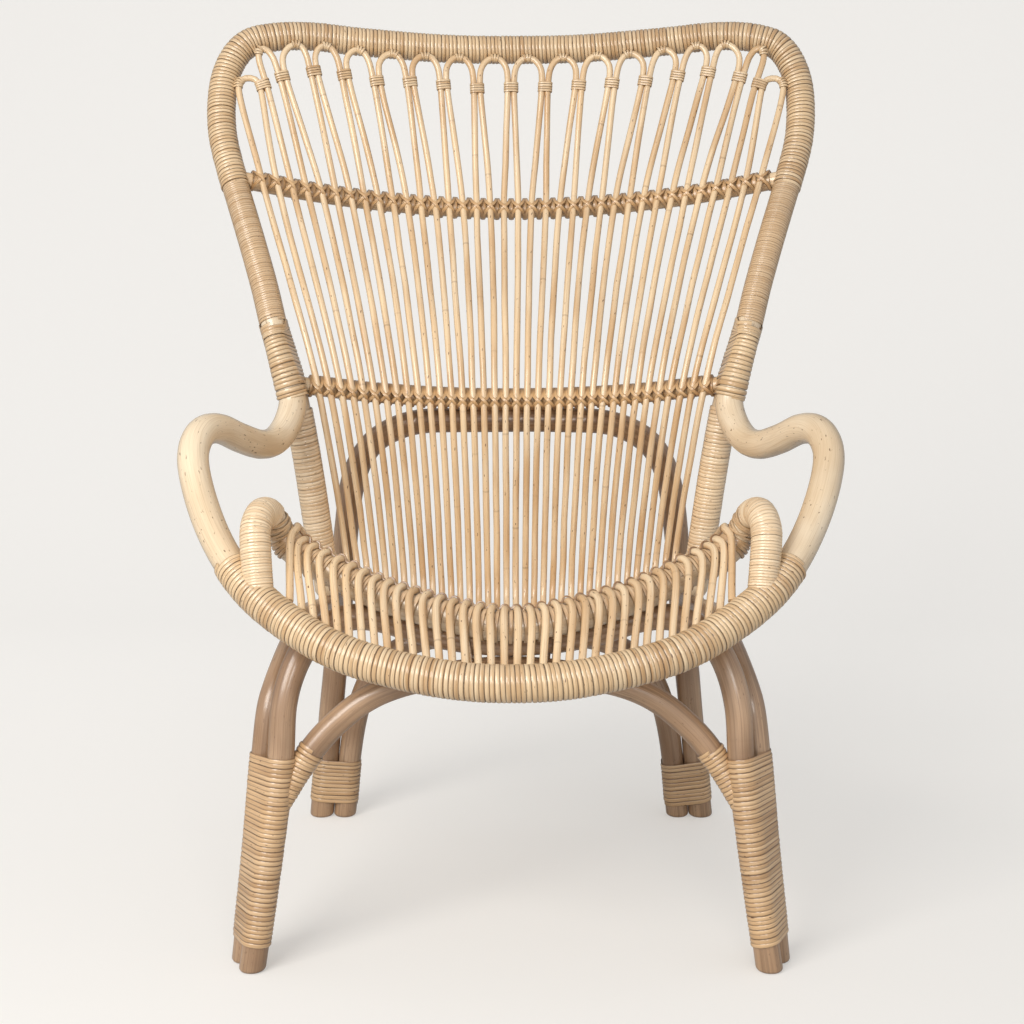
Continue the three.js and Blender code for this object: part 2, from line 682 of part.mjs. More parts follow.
// Distance from a path's start at which it comes clear of another path by the given reach
function comesClear(path, other, reach) {
  const away = (p) => Math.min(...other.points.map((q) => q.distanceTo(p)));
  return path.find(away, reach, 0, 1);
}

// Stretches that are bound, as distances along each pole
function bindingSpans() {
  const spans = {};
  const legReach = FRONT_ARCH_RADIUS + LEG_STRIP_THICKNESS + BRACE_RADIUS;
  const braceBinding = comesClear(brace, frontArch, legReach) + BRACE_BINDING_SHOWN;
  const hookBindingEnd = hookHalf - HOOK_BINDING_INSET;
  const flatLow = JOINT_BINDING_HIGH_Z + BINDING_SPACE;
  const flatHigh = HOOP_BINDING_LOW_Z - BINDING_SPACE;
  for (const [name, side] of SIDES) {
    const heights = (path, ...levels) => levels.map((z) => path.atHeight(z, side)).sort((a, b) => a - b);
    spans[`foot_${name}`] = heights(hoop, FOOT_BINDING_LOW_Z, FOOT_BINDING_HIGH_Z);
    spans[`joint_${name}`] = heights(hoop, JOINT_BINDING_LOW_Z, JOINT_BINDING_HIGH_Z);
    spans[`flat_${name}`] = heights(hoop, flatLow, flatHigh);
    spans[`front_${name}`] = heights(frontArch, FRONT_BINDING_LOW_Z, FRONT_BINDING_HIGH_Z);
    spans[`rear_${name}`] = heights(bow, REAR_BINDING_LOW_Z, REAR_BINDING_HIGH_Z);
    const hookEnd = crest.atWidth(side * hookBindingEnd);
    spans[`hook_${name}`] = side < 0 ? [0, hookEnd] : [hookEnd, crest.length];
    spans[`brace_${name}`] = side < 0 ? [0, braceBinding] : [brace.length - braceBinding, brace.length];
    const middle = frontArch.atWidth(side * BRACE_LASHING_X);
    spans[`lashing_${name}`] = [middle - BRACE_LASHING_WIDTH / 2, middle + BRACE_LASHING_WIDTH / 2];
  }
  spans.hoop = [hoop.atHeight(HOOP_BINDING_LOW_Z, -1), hoop.atHeight(HOOP_BINDING_LOW_Z, 1)];
  const rimEnd = arm.find((p) => p.z, RIM_BINDING_HIGH_Z, SAMPLES / 2, 1);
  spans.rim = [arm.length - rimEnd, rimEnd];
  return spans;
}
const spans = bindingSpans();

function mark(path, keys) {
  for (const key of keys) path.marks.push(...spans[key].filter((s) => s > 0 && s < path.length));
}
mark(hoop, ['foot_left', 'foot_right', 'flat_left', 'flat_right', 'hoop']);
mark(arm, ['rim']);
mark(crest, ['hook_left', 'hook_right']);
mark(brace, ['brace_left', 'brace_right']);
for (const [name] of SIDES) {
  pair(hoop, arm, spans[`joint_${name}`], JOINT_RINGS);
  pair(frontArch, bearers[name], spans[`front_${name}`], LEG_RINGS);
  pair(bow, rearArch, spans[`rear_${name}`], 1);
  pair(frontArch, brace, spans[`lashing_${name}`], 1);
}
for (const path of [hoop, arm, upperRail, middleRail, seatRail, crest, frontArch, bow, rearArch, brace]) {
  path.settle();
}
bearers.left.settle();
bearers.right.settle();

// Where each of the canes crosses a rail: the frame of the rail at that place
const LEGS = 2 * LOOPS;
const spread = (k, half) => mix(-half, half, k / (LEGS - 1));

function onRail(path, x, reach, lashed = false) {
  const place = path.atWidth(x);
  const { point, tangent, normal, side } = lashed ? path.frame(place) : path.chord(place);
  return { point: along(point, normal, reach), centre: point, tangent, normal, side };
}

// Rail with its lashing: the pole swells between canes and is drawn in at each one
function lashedRail(path, radius, half, sides) {
  const surface = new Surface();
  const rise = (s, grow) => {
    const { point, normal, side } = path.frame(s);
    return Array.from({ length: sides }, (_, j) => {
      const angle = (j / sides) * 2 * Math.PI;
      const reach = radius + grow;
      return along(along(point, normal, Math.cos(angle) * reach), side, Math.sin(angle) * reach);
    });
  };
  const crossings = Array.from({ length: LEGS }, (_, k) => path.atWidth(spread(k, half)));
  const rings = path.stations.filter((s) => s < crossings[0] - radius).map((s) => surface.ring(rise(s, 0)));
  crossings.forEach((s, k) => {
    rings.push(surface.ring(rise(s, 0)));
    if (k < LEGS - 1) rings.push(surface.ring(rise((s + crossings[k + 1]) / 2, LASHING_RISE)));
  });
  const after = path.stations.filter((s) => s > crossings[LEGS - 1] + radius);
  rings.push(...after.map((s) => surface.ring(rise(s, 0))));
  for (let k = 1; k < rings.length; k += 1) surface.band(rings[k - 1], rings[k], sides);
  surface.cap(rings[0], sides, true);
  surface.cap(rings[rings.length - 1], sides, false);
  return surface.build();
}

// Where a cane's leg crosses the upper rail, by the leg's number
function upperCrossing(k) {
  return onRail(upperRail, spread(k, upperHalf), BACK_RAIL_RADIUS + CANE_GAP + CANE_RADIUS).point;
}

// Places below the hoop where neighbouring canes are tied together, and the hoop's outer ties
function neck(j) {
  const n = Math.abs(j);
  const outer = n === LOOPS / 2;
  const place = Math.sign(j) * OUTER_TIE_REACH * NECK_SHARES[n];
  const { point, normal, side } = hoop.frame(hoop.length / 2 + place);
  const lift = outer ? OUTER_TIE_LIFT : NECK_LIFT;
  const reach = boundHoop + SEAT_GAP + CANE_RADIUS;
  const low = n === LOOPS / 2 - 1 ? OUTER_NECK_DROP : NECK_DROP;
  const drop = outer ? Math.sqrt(reach * reach - lift * lift) : low;
  const middle = along(along(point, side, drop), normal, lift);
  const down = upperCrossing(2 * (j + LOOPS / 2) - 0.5).sub(middle);
  return { point: middle, across: down.cross(normal).normalize().negate() };
}

// Move a point off the hoop until a cane through it just rests on the binding
function offHoop(p) {
  const nearest = hoop.points.reduce((a, b) => (b.distanceTo(p) < a.distanceTo(p) ? b : a));
  const reach = boundHoop + CANE_GAP + CANE_RADIUS;
  const away = p.clone().sub(nearest);
  return away.length() < reach ? along(nearest, away.normalize(), reach) : p;
}

// The loop at the top of a cane: up from one neck to its crown and down to the next neck
function loopPoints(i) {
  const [a, b] = [neck(i - LOOPS / 2), neck(i + 1 - LOOPS / 2)];
  const beside = CANE_RADIUS + NECK_GAP / 2;
  const start = i > 0 ? along(a.point, a.across, beside) : a.point;
  const end = i < LOOPS - 1 ? along(b.point, b.across, -beside) : b.point;
  const fromMiddle = i + 0.5 - LOOPS / 2;
  const n = Math.abs(fromMiddle) - 0.5;
  const outer = n === CROWN_SHARES.length - 1;
  const top = hoop.frame(hoop.length / 2 + Math.sign(fromMiddle) * OUTER_TIE_REACH * CROWN_SHARES[n]);
  const reach = boundHoop + SEAT_GAP + CANE_RADIUS;
  const drop = outer ? OUTER_CROWN_DROP : CROWN_DROP;
  const lift = outer ? NECK_LIFT : Math.sqrt(reach * reach - drop * drop);
  const crown = along(along(top.point, top.side, drop), top.normal, lift);
  const ahead = outer ? end.clone().sub(start).normalize() : top.tangent;
  const halfLoop = (from, foot, sign) => {
    const up = from.clone().sub(foot).normalize();
    const bend = Math.min(NECK_HANDLE, from.distanceTo(crown) * HANDLE_SHARE);
    const level = along(crown, ahead, sign * CROWN_HANDLE);
    return new THREE.CubicBezierCurve3(from, along(from, up, bend), level, crown).getPoints(LOOP_STEPS);
  };
  const rising = halfLoop(start, upperCrossing(2 * i), -1);
  const falling = halfLoop(end, upperCrossing(2 * i + 1), 1).reverse();
  return [...rising, ...falling.slice(1)].map(offHoop);
}

// Round a corner off by an arc of a given radius
function roundCorner(before, corner, after, radius, steps) {
  const a = before.clone().sub(corner).normalize();
  const b = after.clone().sub(corner).normalize();
  const half = a.angleTo(b) / 2;
  const bisector = a.clone().add(b).normalize();
  const centre = along(corner, bisector, radius / Math.sin(half));
  const across = a.clone().sub(b).normalize();
  return Array.from({ length: steps + 1 }, (_, n) => {
    const angle = mix(Math.PI / 2 - half, half - Math.PI / 2, n / steps);
    return along(along(centre, bisector, -Math.cos(angle) * radius), across, Math.sin(angle) * radius);
  });
}

// One leg of a cane, from the neck down the back, through the seat and over the crest to the rim
function legPoints(k) {
  const upper = upperCrossing(k);
  const middle = onRail(middleRail, spread(k, middleHalf), BACK_RAIL_RADIUS + CANE_GAP + CANE_RADIUS);
  const rear = onRail(seatRail, spread(k, rearHalf), 0);
  const crestReach = CREST_RADIUS + CANE_GAP + CANE_RADIUS;
  const over = onRail(crest, spread(k, crestHalf), crestReach, true);
  const wrap = Array.from({ length: CREST_STEPS + 1 }, (_, n) => {
    const angle = mix(CREST_WRAP, -CREST_WRAP, n / CREST_STEPS);
    const turned = over.normal.clone().applyAxisAngle(over.tangent, -angle);
    return along(over.centre, turned, crestReach);
  });
  if (wrap[0].y < wrap[CREST_STEPS].y) wrap.reverse();
  let corner = rear.point;
  for (let n = 0; n < SEAT_PASSES; n += 1) {
    const up = middle.point.clone().sub(corner).normalize();
    const ahead = wrap[0].clone().sub(corner).normalize();
    const half = up.angleTo(ahead) / 2;
    const bisector = up.add(ahead).normalize();
    const touch = square(bisector.clone(), rear.tangent);
    const seat = along(rear.centre, touch, SEAT_RAIL_RADIUS + CANE_GAP + CANE_RADIUS);
    corner = along(seat, bisector, SEAT_BEND_RADIUS * (1 - 1 / Math.sin(half)));
  }
  const bend = roundCorner(middle.point, corner, wrap[0], SEAT_BEND_RADIUS, BEND_STEPS);
  const rim = arm.chord(arm.atWidth(spread(k, rimHalf)));
  const inward = square(wrap[CREST_STEPS].clone().sub(rim.point), rim.tangent);
  const end = along(rim.point, inward, ARM_RADIUS + SEAT_GAP + STRIP_THICKNESS + CANE_GAP);
  return { points: [upper, middle.point, ...bend, ...wrap, end], inward };
}

// A cane solid: rings at each point of its line, one corner of the section turned to the rails
function caneGeometry(points, startDirection, endDirection, sides) {
  const tangents = points.map((_, i) => {
    if (i === 0) return startDirection.clone();
    if (i === points.length - 1) return endDirection.clone();
    const before = points[Math.max(i - 1, 0)];
    const after = points[Math.min(i + 1, points.length - 1)];
    const a = points[i].clone().sub(before).normalize();
    const b = after.clone().sub(points[i]).normalize();
    return a.add(b).normalize();
  });
  const middle = Math.floor(points.length / 2);
  const normals = carryFrames(tangents, faceNormal, middle);
  const surface = new Surface();
  const rings = points.map((p, i) => {
    const side = tangents[i].clone().cross(normals[i]);
    return surface.ring(Array.from({ length: sides }, (_, j) => {
      const angle = Math.PI + (j / sides) * 2 * Math.PI;
      const [ahead, beside] = [Math.cos(angle) * CANE_RADIUS, Math.sin(angle) * CANE_RADIUS];
      return along(along(p, normals[i], ahead), side, beside);
    }));
  });
  for (let k = 1; k < rings.length; k += 1) surface.band(rings[k - 1], rings[k], sides);
  surface.cap(rings[0], sides, true);
  surface.cap(rings[rings.length - 1], sides, false);
  return surface.build();
}

function addCanes() {
  for (let i = 0; i < LOOPS; i += 1) {
    const loop = loopPoints(i);
    const [first, second] = [legPoints(2 * i), legPoints(2 * i + 1)];
    const points = [...first.points.reverse(), ...loop, ...second.points];
    const geometry = caneGeometry(points, first.inward, second.inward.negate(), CANE_SIDES);
    addPiece(`hairpin_cane_${String(i + 1).padStart(2, '0')}`, geometry, CANE);
  }
}

function addPoles() {
  addPiece('back_hoop', poleGeometry(hoop, HOOP_RADIUS, {
    foot: { ends: ['start', 'end'], z: HOOP_FOOT_Z, chamfer: FOOT_CHAMFER } }), SMOOTH_POLE);
  addPiece('arm_and_rim_pole', poleGeometry(arm, armRadius), SMOOTH_POLE);
  const floor = { ends: ['start', 'end'], z: 0, chamfer: FOOT_CHAMFER };
  addPiece('front_leg_arch', poleGeometry(frontArch, FRONT_ARCH_RADIUS, { foot: floor }), LEG_POLE);
  addPiece('back_bow', poleGeometry(bow, BOW_RADIUS, { foot: floor }), LEG_POLE);
  addPiece('rear_leg_arch', poleGeometry(rearArch, REAR_ARCH_RADIUS, { foot: floor }), LEG_POLE);
  const cutter = poleGeometry(bow, BOW_RADIUS + SEAT_GAP / Math.cos(Math.PI / POLE_SIDES));
  for (const [name] of SIDES) {
    const foot = { ends: ['start'], z: 0, chamfer: FOOT_CHAMFER };
    const bearer = poleGeometry(bearers[name], BEARER_RADIUS, { foot });
    addPiece(`side_bearer_${name}`, coped(bearer, [cutter]), LEG_POLE);
  }
}

// The rails are coped to the hoop: the lower one to the bare pole, the others to its bindings
function addRails() {
  const section = poleSection(hoop, HOOP_RADIUS, POLE_SIDES);
  const bare = poleGeometry(hoop, HOOP_RADIUS + SEAT_GAP / Math.cos(Math.PI / POLE_SIDES));
  addPiece('rear_seat_rail',
    coped(poleGeometry(seatRail, SEAT_RAIL_RADIUS, { sides: RAIL_SIDES }), [bare]), LEG_POLE);
  const bound = envelope(section, hoop.stations, POLE_SIDES);
  addPiece('upper_back_rail',
    coped(poleGeometry(upperRail, BACK_RAIL_RADIUS, { sides: RAIL_SIDES }), [bound]), CANE);
  const joints = SIDES.map(([name, side]) => envelope(
    jointSection(name, side), hoop.between(...spans[`joint_${name}`]), BUNDLE_SIDES));
  addPiece('middle_back_rail',
    coped(poleGeometry(middleRail, BACK_RAIL_RADIUS, { sides: RAIL_SIDES }), joints), CANE);
}

// Section of the joint where an arm's end lies against the hoop
function jointSection(name, side) {
  const joint = spans[`joint_${name}`];
  const armEnd = hoop.atHeight(ARM_END_Z, side);
  const close = side < 0 ? joint[1] : joint[0];
  const fade = (s) => {
    const share = (close - s) / (close - armEnd) + JOINT_FADE_SHARE;
    return THREE.MathUtils.clamp(share, JOINT_FADE_SHARE, 1);
  };
  const bore = HOOP_RADIUS + SEAT_GAP + PAIR_GAP;
  return bundleSection(hoop, bore, arm, (s) => armRadius(s) + BUNDLE_ROOM, BUNDLE_SIDES, fade);
}

// Section round a front leg and the bearer that stands beside it
function legSection(name) {
  return bundleSection(
    frontArch, FRONT_ARCH_RADIUS + PAIR_GAP, bearers[name], BEARER_RADIUS + PAIR_GAP, BUNDLE_SIDES);
}

// The hooks stand on the bound rim, so the crest rail and its bindings are coped to it
function addCrest() {
  const rimSection = poleSection(arm, ARM_RADIUS, POLE_SIDES);
  const cutter = envelope(rimSection, arm.between(...spans.rim), POLE_SIDES);
  const rail = lashedRail(crest, CREST_RADIUS, crestHalf, POLE_SIDES);
  addPiece('crest_rail', coped(rail, [cutter]), SMOOTH_POLE);
  const section = poleSection(crest, CREST_RADIUS, POLE_SIDES);
  for (const [name] of SIDES) {
    const span = spans[`hook_${name}`];
    const sleeve = boundSleeve(section, span, crest.between(...span), HOOK_TURNS, POLE_SIDES);
    addPiece(`hook_binding_${name}`, coped(sleeve, [cutter]), BINDING);
  }
}

// The brace springs from the bound front legs, so its ends and collars are coped to them
function addBrace() {
  const cutters = SIDES.map(([name]) => {
    const section = legSection(name);
    const [from, to] = spans[`front_${name}`];
    const beyond = name === 'left' ? [from, to + BRACE_COPE_REACH] : [from - BRACE_COPE_REACH, to];
    return envelope(section, frontArch.between(...beyond), BUNDLE_SIDES);
  });
  addPiece('front_brace', coped(poleGeometry(brace, BRACE_RADIUS), cutters), LEG_POLE);
  const section = poleSection(brace, BRACE_RADIUS, POLE_SIDES);
  SIDES.forEach(([name], n) => {
    const span = spans[`brace_${name}`];
    const sleeve = boundSleeve(section, span, brace.between(...span), BRACE_TURNS, POLE_SIDES);
    addPiece(`brace_binding_${name}`, coped(sleeve, [cutters[n]]), BINDING);
  });
}

// A binding of the given turns on a bound stretch of a path
function addBinding(name, section, path, span, turns, sides, strip) {
  const bore = path.between(...span);
  addPiece(name, boundSleeve(section, span, bore, turns, sides, strip), BINDING);
}

// Bindings round one pole
function addHoopBindings() {
  const section = poleSection(hoop, HOOP_RADIUS, POLE_SIDES);
  addBinding('hoop_binding', section, hoop, spans.hoop, HOOP_TURNS, POLE_SIDES);
  for (const [name] of SIDES) {
    const flat = hoop.between(...spans[`flat_${name}`]);
    const sleeve = flatSleeve(section, flat, FLAT_STRIP_THICKNESS, POLE_SIDES);
    addPiece(`hoop_side_binding_${name}`, sleeve, BINDING);
    addBinding(`hoop_foot_binding_${name}`, section, hoop, spans[`foot_${name}`], FOOT_TURNS, POLE_SIDES);
  }
  const rimSection = poleSection(arm, ARM_RADIUS, POLE_SIDES);
  addBinding('rim_binding', rimSection, arm, spans.rim, RIM_TURNS, POLE_SIDES);
}

// Bindings round two poles
function addBundleBindings() {
  const tieRadius = FRONT_ARCH_RADIUS + PAIR_GAP;
  for (const [name, side] of SIDES) {
    const bind = (key, section, path, turns, strip) => addBinding(
      `${key}_${name}`, section, path, spans[`${key.split('_')[0]}_${name}`], turns, BUNDLE_SIDES, strip);
    bind('front_leg_binding', legSection(name), frontArch, FRONT_LEG_TURNS, LEG_STRIP);
    const rearLeg = bundleSection(bow, BOW_RADIUS, rearArch, REAR_ARCH_RADIUS, BUNDLE_SIDES);
    bind('rear_leg_binding', rearLeg, bow, REAR_LEG_TURNS, LEG_STRIP);
    addBinding(`arm_joint_binding_${name}`, jointSection(name, side), hoop, spans[`joint_${name}`],
      JOINT_TURNS, BUNDLE_SIDES);
    const tie = bundleSection(frontArch, tieRadius, brace, BRACE_RADIUS, BUNDLE_SIDES);
    addBinding(`brace_lashing_${name}`, tie, frontArch, spans[`lashing_${name}`],
      LASHING_TURNS, BUNDLE_SIDES);
  }
}

addPoles();
addRails();
addCrest();
addBrace();
addHoopBindings();
addBundleBindings();
addCanes();

// Stand the chair's bounding box centred over the origin
const box = new THREE.Box3().setFromObject(chair);
chair.position.y = -(box.min.y + box.max.y) / 2;

export default chair;
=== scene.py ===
import bpy
import math
import random
import numpy as np
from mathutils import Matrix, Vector


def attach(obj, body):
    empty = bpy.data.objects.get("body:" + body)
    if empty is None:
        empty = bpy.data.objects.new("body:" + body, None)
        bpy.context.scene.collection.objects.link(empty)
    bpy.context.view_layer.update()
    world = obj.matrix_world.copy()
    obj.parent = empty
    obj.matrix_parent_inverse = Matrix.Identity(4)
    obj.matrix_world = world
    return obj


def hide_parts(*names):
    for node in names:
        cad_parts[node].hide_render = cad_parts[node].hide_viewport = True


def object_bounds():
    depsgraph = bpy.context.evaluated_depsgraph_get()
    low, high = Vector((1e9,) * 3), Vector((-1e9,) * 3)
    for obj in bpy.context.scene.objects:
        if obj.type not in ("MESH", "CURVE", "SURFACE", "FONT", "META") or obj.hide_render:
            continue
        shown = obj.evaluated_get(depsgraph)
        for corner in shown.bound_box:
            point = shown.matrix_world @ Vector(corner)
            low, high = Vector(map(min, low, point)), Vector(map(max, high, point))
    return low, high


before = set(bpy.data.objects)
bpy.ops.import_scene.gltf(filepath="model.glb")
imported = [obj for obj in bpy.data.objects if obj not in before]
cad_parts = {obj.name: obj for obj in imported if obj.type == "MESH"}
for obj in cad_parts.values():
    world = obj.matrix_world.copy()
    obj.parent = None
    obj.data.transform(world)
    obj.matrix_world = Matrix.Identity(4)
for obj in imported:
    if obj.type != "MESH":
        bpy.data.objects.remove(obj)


def box_lists():
    return [[float(v) for v in corner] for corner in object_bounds()]


cad_box = box_lists()
bpy.ops.object.select_all(action="DESELECT")
chance = random.Random(18)

# Sizes are in metres. The play under a strip, the steps along poles and in a turn, and a cane's radius
PLAY = 0.0003
LINE_STEP = 0.004
POLE_STEP = 0.006
TURN_STEPS = 26
TIE_STEPS = 24
CANE_RADIUS = 0.0042

# Sides of the tubes in the frame, how far a ring of corners may miss a flat regular polygon, as shares
# of its edge, and how far a coped end reaches past its last ring
POLE_SIDES = 8
RAIL_SIDES = 6
CANE_SIDES = 5
RING_MISS = 0.01
FLAT_MISS = 0.02
COPED_REACH = 0.14

# Feet: the height that they are cut at, the ends that count as feet, the room above the cut for the last
# ring read, what runs on below the cut, the stretch near it without rings, and the round of its edge
FOOT_LEVEL = 0.0
FOOT_NEAR = 0.03
FOOT_GAP = 0.015
FOOT_WASTE = 0.009
FOOT_CLEAR = 0.018
FOOT_ROUND = 0.0045

# How far the ends of the brace and the hooks go on along the pole that they meet, and their share of the
# full radius there. How far other ends run into what they meet
BRACE_SINK = 0.078
BRACE_PARED = 0.55
HOOK_SHIFT = 0.046
HOOK_PARED = 0.96
RAIL_OVERRUN = 0.006
BEARER_OVERRUN = 0.014
CANE_OVERRUN = 0.003

# Bindings: the pitch of the turns, the rise of a strip, and its lift off the pole
HOOP_WINDING = (0.0051, 0.0018, 0.0006)
RIM_WINDING = (0.005, 0.0016, 0.0006)
FOOT_WINDING = (0.0044, 0.0011, 0.0008)
JOINT_WINDING = (0.005, 0.0018, 0.0004)
HOOK_WINDING = (0.0031, 0.0007, 0.0012)
SIDE_WINDING = (0.0031, 0.0005, 0.0006)
FRONT_LEG_WINDING = (0.0051, 0.0013, 0.0004)
REAR_LEG_WINDING = (0.0052, 0.0012, 0.0004)
BRACE_WINDING = (0.0048, 0.0012, 0.0004)
HOOP_RISE = HOOP_WINDING[1] + HOOP_WINDING[2]

# A winding's strip: the share of the pitch that it fills, the play in its pitch and its rise, the share of
# its rise at its ends, what windings go on past the ends of the bindings that they stand for, and how far
# out, as a share, the winding of an arm's joint still stands where it closes on the hoop
STRIP_SHARE = 0.985
PITCH_PLAY = 0.1
RISE_PLAY = 0.14
END_RISE = 0.25
SIDE_STRETCH = 0.006
HOOK_STRETCH = 0.02
BRACE_STRETCH = BRACE_SINK * 0.7
JOINT_SHUT = 0.3

# Ties of the canes: the heights that they are looked for above, and where their turns lie along the cane
CROWN_LEVEL = 0.9
OUTER_LEVEL = 0.85
NECK_TURNS = (-0.0051, -0.0017, 0.0017, 0.0051)
CROWN_TURNS = (-0.0034, 0, 0.0034)
TIE_WIDTH = 0.0034
TIE_RISE = 0.0012
TIE_DIVE = 0.0016
EAR_LENGTH = 0.006
EAR_WIDTH = 0.0024
EAR_RISE = 0.0009

# Lashings on the back rails: crossed strips, beads between them, and the turns of the end collars
CROSS_WIDTH = 0.0046
CROSS_RISE = 0.0015
CROSS_REACH = 0.008
BEAD_WIDTH = 0.0076
BEAD_RISE = 0.0026
COLLAR_PITCH = 0.006
COLLAR_INSET = 0.004
LASHED_ROOM = 0.009

# Crest rail: turns between the canes, wraps at the hooks' shoulders, and the scalloped strip
CREST_PITCH = 0.0043
CREST_RISE = 0.0016
SHOULDER_TURNS = 5
SHOULDER_PITCH = 0.0036
SCALLOP_WIDTH = 0.0034
SCALLOP_RISE = 0.0018
SCALLOP_STEP = 0.0012

SIDES = (("left", -1), ("right", 1))


def unit(v):
    return v / np.maximum(np.linalg.norm(v, axis=-1, keepdims=True), 1e-12)


# The rings of a tube-shaped node, in order, as centres and radii
def tube_rings(node, sides, coped=True):
    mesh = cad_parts[node].data
    corners = np.array([v.co[:] for v in mesh.vertices])
    points, index = np.unique(corners, axis=0, return_inverse=True)
    index = index.reshape(-1)
    near = [set() for _ in points]
    for face in mesh.polygons:
        ids = [index[i] for i in face.vertices]
        for a in ids:
            near[a].update(i for i in ids if i != a)
    ratio = 2 * math.cos(math.pi / sides)

    def gap(a, b):
        return float(np.linalg.norm(points[a] - points[b]))

    def walk(first, second):
        ring, edge = [first, second], gap(first, second)
        while len(ring) < sides:
            fits = [n for n in near[ring[-1]] if n not in ring
                    and abs(gap(ring[-1], n) - edge) < RING_MISS * edge
                    and abs(gap(ring[-2], n) - ratio * edge) < RING_MISS * ratio * edge]
            if len(ring) > 2:
                normal = np.cross(points[ring[1]] - points[ring[0]], points[ring[2]] - points[ring[1]])
                normal = normal / np.linalg.norm(normal)
                fits = [n for n in fits
                        if abs(np.dot(points[n] - points[ring[0]], normal)) < FLAT_MISS * edge]
            if not fits:
                return None
            ring.append(fits[0])
        shut = first in near[ring[-1]] and abs(gap(ring[-1], first) - edge) < RING_MISS * edge
        return ring if shut else None

    owner, rings = {}, []
    for a in range(len(points)):
        for b in near[a]:
            if a in owner:
                break
            ring = walk(a, b)
            if ring and not any(n in owner for n in ring):
                for n in ring:
                    owner[n] = len(rings)
                rings.append(ring)
    beside = [set() for _ in rings]
    for a, k in owner.items():
        beside[k].update(owner[b] for b in near[a] if b in owner and owner[b] != k)
    ends = [k for k, others in enumerate(beside) if len(others) == 1]
    order, seen = [], set()
    k = min(ends, key=lambda n: points[rings[n][0]][0])
    while k is not None:
        order.append(k)
        seen.add(k)
        k = next((n for n in beside[k] if n not in seen), None)
    centres = [points[rings[k]].mean(axis=0) for k in order]
    radii = [np.linalg.norm(points[rings[k]] - c, axis=1).mean() for k, c in zip(order, centres)]
    # A coped end has no ring, so its corners give one more centre
    loose = [a for a in range(len(points)) if a not in owner] if coped else []
    for end, inner in ((0, 1), (-1, -2)):
        tip, before = centres[end], centres[inner]
        beyond = [a for a in loose if np.dot(points[a] - tip, tip - before) > 0
                  and np.linalg.norm(points[a] - tip) < COPED_REACH]
        if len(beyond) > 3:
            spot = 0 if end == 0 else len(centres)
            centres.insert(spot, points[beyond].mean(axis=0))
            radii.insert(spot, radii[end])
    return np.array(centres), np.array(radii)


# A footed end runs on straight to just under the height that it is cut level at
def run_down(centres, radii):
    centres, radii = list(centres), list(radii)
    for end, step in ((0, 1), (-1, -1)):
        if centres[end][2] > FOOT_LEVEL + FOOT_NEAR:
            continue
        while centres[end][2] < FOOT_LEVEL + FOOT_GAP:
            centres.pop(end)
            radii.pop(end)
        tip, before = centres[end], centres[end + step]
        ahead = (tip - before) / np.linalg.norm(tip - before)
        foot = tip + ahead * (tip[2] - FOOT_LEVEL + FOOT_WASTE) / -ahead[2]
        spot = 0 if end == 0 else len(centres)
        centres.insert(spot, foot)
        radii.insert(spot, radii[end])
    return np.array(centres), np.array(radii)


